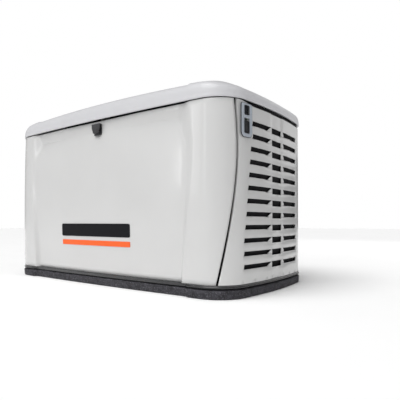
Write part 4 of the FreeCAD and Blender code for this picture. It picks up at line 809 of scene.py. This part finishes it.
def lid_ring(inset, level):
    """One closed ring of the lid, from the front's middle round by the right end, the rear and the left end."""
    radius = max(CORNER_RADIUS - inset, LEAST_RADIUS)
    corner_x = HALF_LENGTH - inset - BOW - radius
    corner_y = HALF_DEPTH - inset - BOW - radius
    x = np.array(LID_STATIONS) * corner_x / CORNER_X
    y = -(HALF_DEPTH - inset - BOW * (x / corner_x) ** 2)
    front = np.stack([x, y], -1)
    turn = np.radians(np.linspace(90, 0, LID_CORNER + 1)[1:])
    corner = np.stack([corner_x + radius * np.cos(turn), -(corner_y + radius * np.sin(turn))], -1)
    side_y = -corner_y * (1 - steps(0, 1, LID_SIDE))
    side = np.stack([HALF_LENGTH - inset - BOW * (side_y / corner_y) ** 2, side_y], -1)
    quarter = np.concatenate([front, corner, side])
    right = np.concatenate([quarter, quarter[:-1][::-1] * np.array([1, -1])])
    ring = np.concatenate([right, right[1:-1][::-1] * np.array([-1, 1])])
    ring = np.concatenate([ring, ring[:1]])
    height = lid_height(inset, level, ring)
    return np.concatenate([ring, height[:, None]], axis=1)


def by_hinge(centre):
    return (np.abs(np.abs(centre[..., 0]) - HINGE_AT) < HINGE_HALF) & (centre[..., 1] > HINGE_REAR)


def cell_centres(points):
    return (points[:-1, :-1] + points[1:, 1:]) / 2


def lid():
    """The lid's outer skin, notched for its hinges and closed along the middle of the crown."""
    rings = [lid_ring(inset, level) for inset, level in lid_sections()]
    for share in (0.5, 0.0):
        ring = rings[-1].copy()
        ring[:, 1] *= share
        rings.append(ring)
    points = np.array(rings)
    centre = cell_centres(points)
    notch = by_hinge(centre) & (centre[..., 2] < NOTCH_TOP)
    obj = grid("lid_skin", points, ~notch, weld=True)
    thicken(obj, LID_THICKNESS)
    dress(obj, "lid", "lid_paint", replaced=["lid_shell"])


def top_gap_shade_strip():
    """Black strip along the tops of the panels that paints the shadow in the gap under the lid, its front run carried
    by the front panel.
    """
    rings = []
    for inset, level in GAP_SHADE_PROFILE:
        ring = lid_ring(inset, level)
        at_rear = ramp(ring[:, 1], *REAR_SHADE_RUN)
        ring[:, 2] = level - max(level - REAR_SHADE_TOP, 0) * at_rear
        in_recess = (1 - ramp(np.abs(ring[:, 0]), *SETBACK_EDGE)) * (ring[:, 1] < SETBACK_FRONT)
        ring[:, 1] += GAP_SHADE_SETBACK * in_recess
        rings.append(ring)
    points = np.array(rings)
    centre = cell_centres(points)
    over_front = (np.abs(centre[..., 0]) < FRONT_RUN_HALF) & (centre[..., 1] < FRONT_RUN_Y)
    rear_run = grid("top_gap_shade_strip", points, ~(over_front | by_hinge(centre)), weld=True)
    dress(rear_run, "enclosure", "foam_seal", "gap_shade_black")
    front_run = grid("front_gap_shade_strip", points, over_front, weld=True)
    dress(front_run, "front", "foam_seal", "gap_shade_black")


# ---- foam liners

CRATE_PITCH = 24
LID_LINER_HALF, LID_LINER_LATTICE = (468, 188), (157, 64)
LID_LINER_GAP, LID_CRATE, WALL_CRATE = 15, 3, 2.5
LID_FOLD, WALL_FOLD = 9.0, 7.0
WALL_LATTICE = (140, 80)
# body, x range, level range, side and distance in from the wall
WALL_LINERS = {"rear_liner": ("enclosure", (-376, 376), (262, 552), 1, 13.0),
               "front_liner": ("front", (-370, 214), (78, 560), -1, 30.0)}


def crate(u, v, height):
    """Egg-crate waves of sound-deadening foam."""
    return height * np.cos(2 * math.pi * u / CRATE_PITCH) * np.cos(2 * math.pi * v / CRATE_PITCH)


def edged(points, lift):
    """A foam sheet's lattice with its borders folded back to the wall."""
    points = np.concatenate([points[:1] + lift, points, points[-1:] + lift])
    return np.concatenate([points[:, :1] + lift, points, points[:, -1:] + lift], axis=1)


def lid_liner():
    x, y = np.meshgrid(*(np.linspace(-half, half, count) for half, count in zip(LID_LINER_HALF, LID_LINER_LATTICE)))
    inset = np.minimum(HALF_DEPTH - BOW * (x / CORNER_X) ** 2 - np.abs(y),
                       HALF_LENGTH - BOW * (y / CORNER_Y) ** 2 - np.abs(x))
    shoulder = SEAM_LEVEL + (SHOULDER - SEAM_LEVEL) * lid_stretch(x)
    crown = shoulder + (CROWN - shoulder) * (1 - (1 - np.clip((inset - DOME_FROM) / DOME_RUN, 0, 1)) ** 2)
    z = crown - LID_LINER_GAP + crate(x, y, LID_CRATE)
    obj = grid("lid_liner", edged(np.stack([x, y, z], -1), np.array([0, 0, LID_FOLD]))[::-1])
    dress(obj, "lid", "foam_seal")


def wall_liner(name, body, x_range, z_range, side, depth):
    """Foam on the inside of the front or rear wall."""
    x, z = np.meshgrid(np.linspace(*x_range, WALL_LATTICE[0]), np.linspace(*z_range, WALL_LATTICE[1]))
    y = side * (HALF_DEPTH - PANEL_INSET - BOW * (x / CORNER_X) ** 2 - depth - crate(x, z, WALL_CRATE))
    points = edged(np.stack([x, y, z], -1), np.array([0, side * WALL_FOLD, 0]))
    obj = grid(name, points[::-1] if side < 0 else points)
    dress(obj, body, "foam_seal")


def liners():
    lid_liner()
    for name, wall in WALL_LINERS.items():
        wall_liner(name, *wall)


# ---- pad, pan and seams

# level and inset, from the bottom up
PAD_PROFILE = ((0.0, 60.0), (0.0, 8.0), (1.4, 4.0), (5.0, 2.0), (20.0, 1.2), (24.0, 0.8), (27.0, 1.6), (29.0, 4.0),
               (30.0, 8.0), (30.0, 20.0), (30.0, 60.0))
PAN_PROFILE = ((30.5, 16.0), (33.5, 10.5), (34.0, 5.0), (34.8, 2.2), (37.0, 1.0), (39.5, 1.6), (41.0, 4.0),
               (41.6, 7.0), (43.5, 7.5), (44.6, 8.5), (44.8, 11.0))
LOW_RECESS, LOW_EDGE, LOW_FRONT = 12.0, (414, 30), (150, 100)
# the near-black strips behind the side seams paint the shade in those gaps
SEAM_SHADE_LEVELS = (52, 618, 40)
SEAM_SHADE_TURNS = (0.045, 0.03, 0.0, -0.03, -0.045)
SEAM_SHADE_DEPTHS = (13.0, 10.0, 9.0, 10.0, 13.0)
SEAM_SHADE_THICKNESS = 1.5


def lower_ring(inset, level):
    """One closed ring of the pad or pan: the enclosure's outline with the front recess."""
    ring = lid_ring(inset, SEAM_LEVEL)
    ring[:, 2] = level
    in_recess = (1 - ramp(np.abs(ring[:, 0]), *LOW_EDGE)) * ramp(-ring[:, 1], *LOW_FRONT)
    ring[:, 1] += LOW_RECESS * in_recess
    return ring


def pad_skin():
    """The pad's moulded edge with its rounded bead, closed above and below."""
    rings = [lower_ring(inset, level) for level, inset in PAD_PROFILE]
    bottom, top = rings[0].copy(), rings[-1].copy()
    for flat in (bottom, top):
        flat[:, 1] = 0
    rings = [bottom] + rings + [top]
    obj = grid("pad_skin", np.array(rings)[:, ::-1], weld=True)
    dress(obj, "enclosure", "composite_pad", replaced=["mounting_pad"])


def pan_rim():
    """The pan's glossy rolled rim, standing over the groove above the pad."""
    rings = [lower_ring(inset, level) for level, inset in PAN_PROFILE]
    obj = grid("pan_rim", np.array(rings)[:, ::-1], weld=True)
    dress(obj, "enclosure", "black_steel")


def seam_shade_strips():
    """Near-black strips behind the gaps between the front panel and the end panels, which paint the shade in the
    seams.
    """
    for name, x_side in (("seam_shade_strip_right", 1), ("seam_shade_strip_left", -1)):
        rows = []
        for z in np.linspace(*SEAM_SHADE_LEVELS):
            turn = seam_turn(z) + np.array(SEAM_SHADE_TURNS)
            level = np.full_like(turn, z)
            rows.append(stack(on_corner(turn, level), level, np.array(SEAM_SHADE_DEPTHS)))
        points = np.array(rows) * np.array([x_side, 1, 1])
        if x_side < 0:
            points = points[:, ::-1]
        seam_shade = grid(name, points)
        thicken(seam_shade, SEAM_SHADE_THICKNESS)
        dress(seam_shade, "enclosure", "foam_seal", "gap_shade_black")


# ---- window and small plates

WINDOW = (597.0, -204.6, 566.0)
WINDOW_TURN = math.radians(-7.5)
OUTLINE_STEPS = 8
STANDING = 90  # tilt of a plate that stands up
THINNEST = 0.05
# name, outlines, thickness, edge, stand-off, body, slot, material and the CAD nodes replaced; an outline is its
# level above the middle, width, height, lower radius and upper radius
WINDOW_PLATES = (
    ("bezel_outline", ((0, 57.5, 109.5, 16.5, 8.5), (0, 51, 103, 13.5, 6)), 2.6, 0.6, 1.6,
     "enclosure", "grey_plastic", "trim_dark", ()),
    ("window_bezel_skin", ((0, 54, 106, 15, 7), (32.5, 27.5, 32.5, 5, 5), (-17.5, 29, 49, 4, 4)), 3.6, 1.0, 2.2,
     "enclosure", "grey_plastic", "grey_plastic", ("window_bezel",)),
    ("lens_frame", ((32.5, 25, 29.5, 4.5, 4.5), (32.5, 20, 23.5, 3, 3)), 1.6, 0.5, 3.4,
     "enclosure", "clear_lens", "trim_dark", ()),
    ("cover_ridge", ((-20.5, 23, 36, 4, 4), (-20.5, 18, 31, 2.5, 2.5)), 1.4, 0.4, 4.2,
     "stop_cover", "black_plastic", "trim_dark", ()),
    ("cover_grip", ((-37.0, 14, 3.4, 1.2, 1.2),), 2.2, 0.6, 4.6, "stop_cover", "black_plastic", "trim_dark", ()),
)
BATTERY_FACE = (403, -264.9, 134)
# name, outlines, thickness, edge, place, tilt, slot and material
LABELS = (
    ("battery_label", ((0, 132, 70, 5, 5),), 0.9, 0.2, BATTERY_FACE, STANDING, "battery_black", "label_paper"),
    ("battery_label_band", ((21, 124, 18, 3, 3),), 1.5, 0.2, BATTERY_FACE, STANDING, "battery_black", "badge_orange"),
    ("control_label", ((0, 96, 12, 2.5, 2.5),), 0.9, 0.2, (299, -224, 590.4), 0, "black_plastic", "label_paper"),
)


def rounded_outline(width, height, lower, upper):
    """A closed rectangle outline with round corners, from the lower left one round."""
    points = []
    for index, ((sx, sy), radius) in enumerate(zip(CORNER_SIGNS, (lower, lower, upper, upper))):
        start = math.radians(180 + 90 * index)
        for step in range(OUTLINE_STEPS + 1):
            turn = start + QUARTER_TURN * step / OUTLINE_STEPS
            points.append((sx * (width / 2 - radius) + radius * math.cos(turn),
                           sy * (height / 2 - radius) + radius * math.sin(turn)))
    return points


def plate(name, outlines, thickness, edge, place, tilt, turn=0.0):
    """A flat plate with rounded edges, cut from closed outlines and put at a place."""
    curve = bpy.data.curves.new(name, "CURVE")
    curve.dimensions = "2D"
    curve.fill_mode = "BOTH"
    curve.extrude = max(thickness / 2 - edge, THINNEST) * MM
    curve.bevel_depth = edge * MM
    curve.bevel_resolution = 3
    curve.offset = -edge * MM
    for level, *shape in outlines:
        outline = rounded_outline(*shape)
        spline = curve.splines.new("POLY")
        spline.points.add(len(outline) - 1)
        for point, (u, v) in zip(spline.points, outline):
            point.co = (u * MM, (v + level) * MM, 0, 1)
        spline.use_cyclic_u = True
    source = show(name + "_outline", curve)
    bpy.context.view_layer.update()
    mesh = bpy.data.meshes.new_from_object(source)
    bpy.data.objects.remove(source)
    spin = Euler((math.radians(tilt), 0, turn)).to_matrix().to_4x4()
    mesh.transform(Matrix.Translation([v * MM for v in place]) @ spin)
    return show(name, mesh)


def window():
    """Pale bezel with a dark outline, the lens's frame, and the ridge and grip of the shutdown switch's cover."""
    x, y, z = WINDOW
    for name, outlines, thickness, edge, out, body, slot_name, material, replaced in WINDOW_PLATES:
        place = (x + out * math.cos(WINDOW_TURN), y + out * math.sin(WINDOW_TURN), z)
        piece = plate(name, outlines, thickness, edge, place, STANDING, WINDOW_TURN + QUARTER_TURN)
        dress(piece, body, slot_name, material, replaced)


def labels():
    """Blank labels: one on the battery's front face, one on the lid of the control housing."""
    for name, outlines, thickness, edge, place, tilt, slot_name, material in LABELS:
        dress(plate(name, outlines, thickness, edge, place, tilt), "enclosure", slot_name, material)


# ---- bolts and battery fittings

CRANK_LEVEL = 232.0
BANK_TURN = math.radians(45)
COVER_TOP = 258.3
BANK_MIDDLE = -209.0
BANK_SPREAD = 15.0
COVER_BOLT_X, COVER_BOLT_Y, COVER_BOLT = (-34, 34), (-28, 28), 10
CARRIER_FACE, CARRIER_CIRCLE, CARRIER_BOLT = 254.8, 106, 13
SUNK = 0.3  # how far a fitting's foot goes into the part that it stands on
WASHER_RADII, WASHER_THICKNESS, WASHER_SIDES = (0.72, 0.7), 1.6, 28  # radii as shares of a bolt's size
HEX_RADIUS, HEX_HEIGHT = 0.56, 0.42
CHAMFER_RADII, CHAMFER_HEIGHT, CHAMFER_SIDES = (0.46, 0.4), 0.08, 24
HEAD_EDGE, POST_EDGE, CAP_EDGE, SCREW_EDGE = 0.5, 0.6, 0.4, 0.3

BATTERY_TOP = 219.2
POSTS_X, POSTS_Y = (336, 470), -118
# height above the battery's top or the control lid, radii, height and sides of each round step
POST_STEPS = ((-SUNK, (13, 12.5), 4, 32), (3.5, (8.8, 8.0), 13, 32))
CAPS_X, CAP_PITCH, CAPS_Y, CAP_COUNT = 338, 26, -226, 6
CAP_STEPS = ((-SUNK, (9.5, 9.0), 3.2, 28), (2.9, (6.0, 5.4), 1.6, 6))
SCREW_STEPS = ((0, (4.8, 3.8), 2.2, 28), (2.0, (2.3, 2.1), 0.7, 6))
CONTROL_TOP = 589.8
CONTROL_SCREWS = ((246, -120), (518, -120), (246, -282), (508, -262))


def round_part(work, place, radii, height, sides):
    """A tapered round or six-sided part standing on a placed frame's origin."""
    lift = Matrix.Translation((0, 0, height / 2 * MM))
    bmesh.ops.create_cone(work, cap_ends=True, segments=sides, radius1=radii[0] * MM, radius2=radii[1] * MM,
                          depth=height * MM, matrix=place @ lift)


def from_work(work, name, slot_name, edge):
    mesh = bpy.data.meshes.new(name)
    work.to_mesh(mesh)
    work.free()
    obj = show(name, mesh)
    soften(obj, edge)
    dress(obj, "enclosure", slot_name)


def placed(x, y, z, rotation=None):
    place = Matrix.Translation((x * MM, y * MM, z * MM))
    return place @ rotation if rotation is not None else place


def bolts(name, places, size):
    """Hexagon heads with washers at a list of placed frames, as one piece."""
    work = bmesh.new()
    for place in places:
        round_part(work, place, [size * share for share in WASHER_RADII], WASHER_THICKNESS, WASHER_SIDES)
        seat = place @ placed(0, 0, WASHER_THICKNESS)
        round_part(work, seat, (size * HEX_RADIUS, size * HEX_RADIUS), size * HEX_HEIGHT, 6)
        top = seat @ placed(0, 0, size * HEX_HEIGHT)
        round_part(work, top, [size * share for share in CHAMFER_RADII], size * CHAMFER_HEIGHT, CHAMFER_SIDES)
    from_work(work, name, "zinc_steel", HEAD_EDGE)


def stepped(name, spots, level, parts, slot_name, edge):
    """Round stepped fittings at a list of spots on one level, as one piece."""
    work = bmesh.new()
    for x, y in spots:
        for lift, radii, height, sides in parts:
            round_part(work, placed(x, y, level + lift), radii, height, sides)
    from_work(work, name, slot_name, edge)


def cover_bolts():
    """Four bolts on each valve cover, in the frame of each tilted bank."""
    places = []
    for side in (-1, 1):
        bank = placed(0, 0, CRANK_LEVEL, Matrix.Rotation(-side * BANK_TURN, 4, "X"))
        middle = BANK_MIDDLE + side * BANK_SPREAD
        for x in COVER_BOLT_X:
            for y in COVER_BOLT_Y:
                places.append(bank @ placed(middle + x, y, COVER_TOP - SUNK))
    bolts("valve_cover_bolts", places, COVER_BOLT)


def carrier_bolts():
    """Bolts that draw the bearing carrier and stator together."""
    outward = Matrix.Rotation(QUARTER_TURN, 4, "Y")
    places = []
    for turn in range(45, 360, 90):
        angle = math.radians(turn)
        y, z = CARRIER_CIRCLE * math.cos(angle), CARRIER_CIRCLE * math.sin(angle)
        places.append(placed(CARRIER_FACE, y, CRANK_LEVEL + z, outward))
    bolts("carrier_bolts", places, CARRIER_BOLT)


def fittings():
    """Bolts, the battery's lead posts and vent caps, blank labels and the control housing's screws."""
    cover_bolts()
    carrier_bolts()
    stepped("battery_posts", [(x, POSTS_Y) for x in POSTS_X], BATTERY_TOP, POST_STEPS, "zinc_steel", POST_EDGE)
    caps = [(CAPS_X + CAP_PITCH * index, CAPS_Y) for index in range(CAP_COUNT)]
    stepped("battery_caps", caps, BATTERY_TOP, CAP_STEPS, "black_plastic", CAP_EDGE)
    labels()
    stepped("control_screws", CONTROL_SCREWS, CONTROL_TOP, SCREW_STEPS, "zinc_steel", SCREW_EDGE)


# ---- CAD nodes

# edge radius of the CAD nodes; the thin rear walls and the seal keep their sharp edges
BEVELS = {
    "base_pan": 1.6, "rear_panel": 0.0, "rear_corner_left": 0.0, "rear_corner_right": 0.0, "lid_seal": 0.0,
    "lock_flap": 1.2, "lock_body": 0.8, "shutdown_cover": 0.8, "status_lens": 0.8, "battery": 3.0, "crankcase": 2.5,
    "cylinders": 0.8, "valve_covers": 1.0, "air_box": 1.0, "air_box_cover": 1.5, "control_housing": 1.2,
    "engine_cradle": 1.5, "muffler": 1.5, "oil_filter": 2.0, "starter_motor": 1.5, "fuel_regulator": 1.2,
}
PLAIN_BEVEL, NODE_ANGLE, NODE_SEGMENTS = 0.5, 32, 3
NODE_WELD = 0.00001


def paint_nodes():
    slots = {part["node"]: part["material_slot"] for part in frame["record"]["subparts"]}
    for name, obj in frame["nodes"].items():
        for slot in obj.material_slots:
            slot.material = materials[slots[name]]
        width = BEVELS.get(name, PLAIN_BEVEL)
        if width:
            weld = obj.modifiers.new("weld", "WELD")
            weld.merge_threshold = NODE_WELD
            soften(obj, width, NODE_ANGLE, NODE_SEGMENTS)


materials = {}


def main():
    make_camera()
    make_stage()
    materials.update(make_materials())
    paint_nodes()
    front_panel()
    badge()
    end_panel("intake_panel_skin", "intake_panel", 1, True)
    end_panel("exhaust_panel_skin", "exhaust_panel", -1, False)
    louvre_blades("intake_louvre_blades", 1)
    louvre_blades("exhaust_louvre_blades", -1)
    lid()
    top_gap_shade_strip()
    seam_shade_strips()
    pad_skin()
    pan_rim()
    window()
    liners()
    fittings()
    bpy.context.view_layer.update()


main()
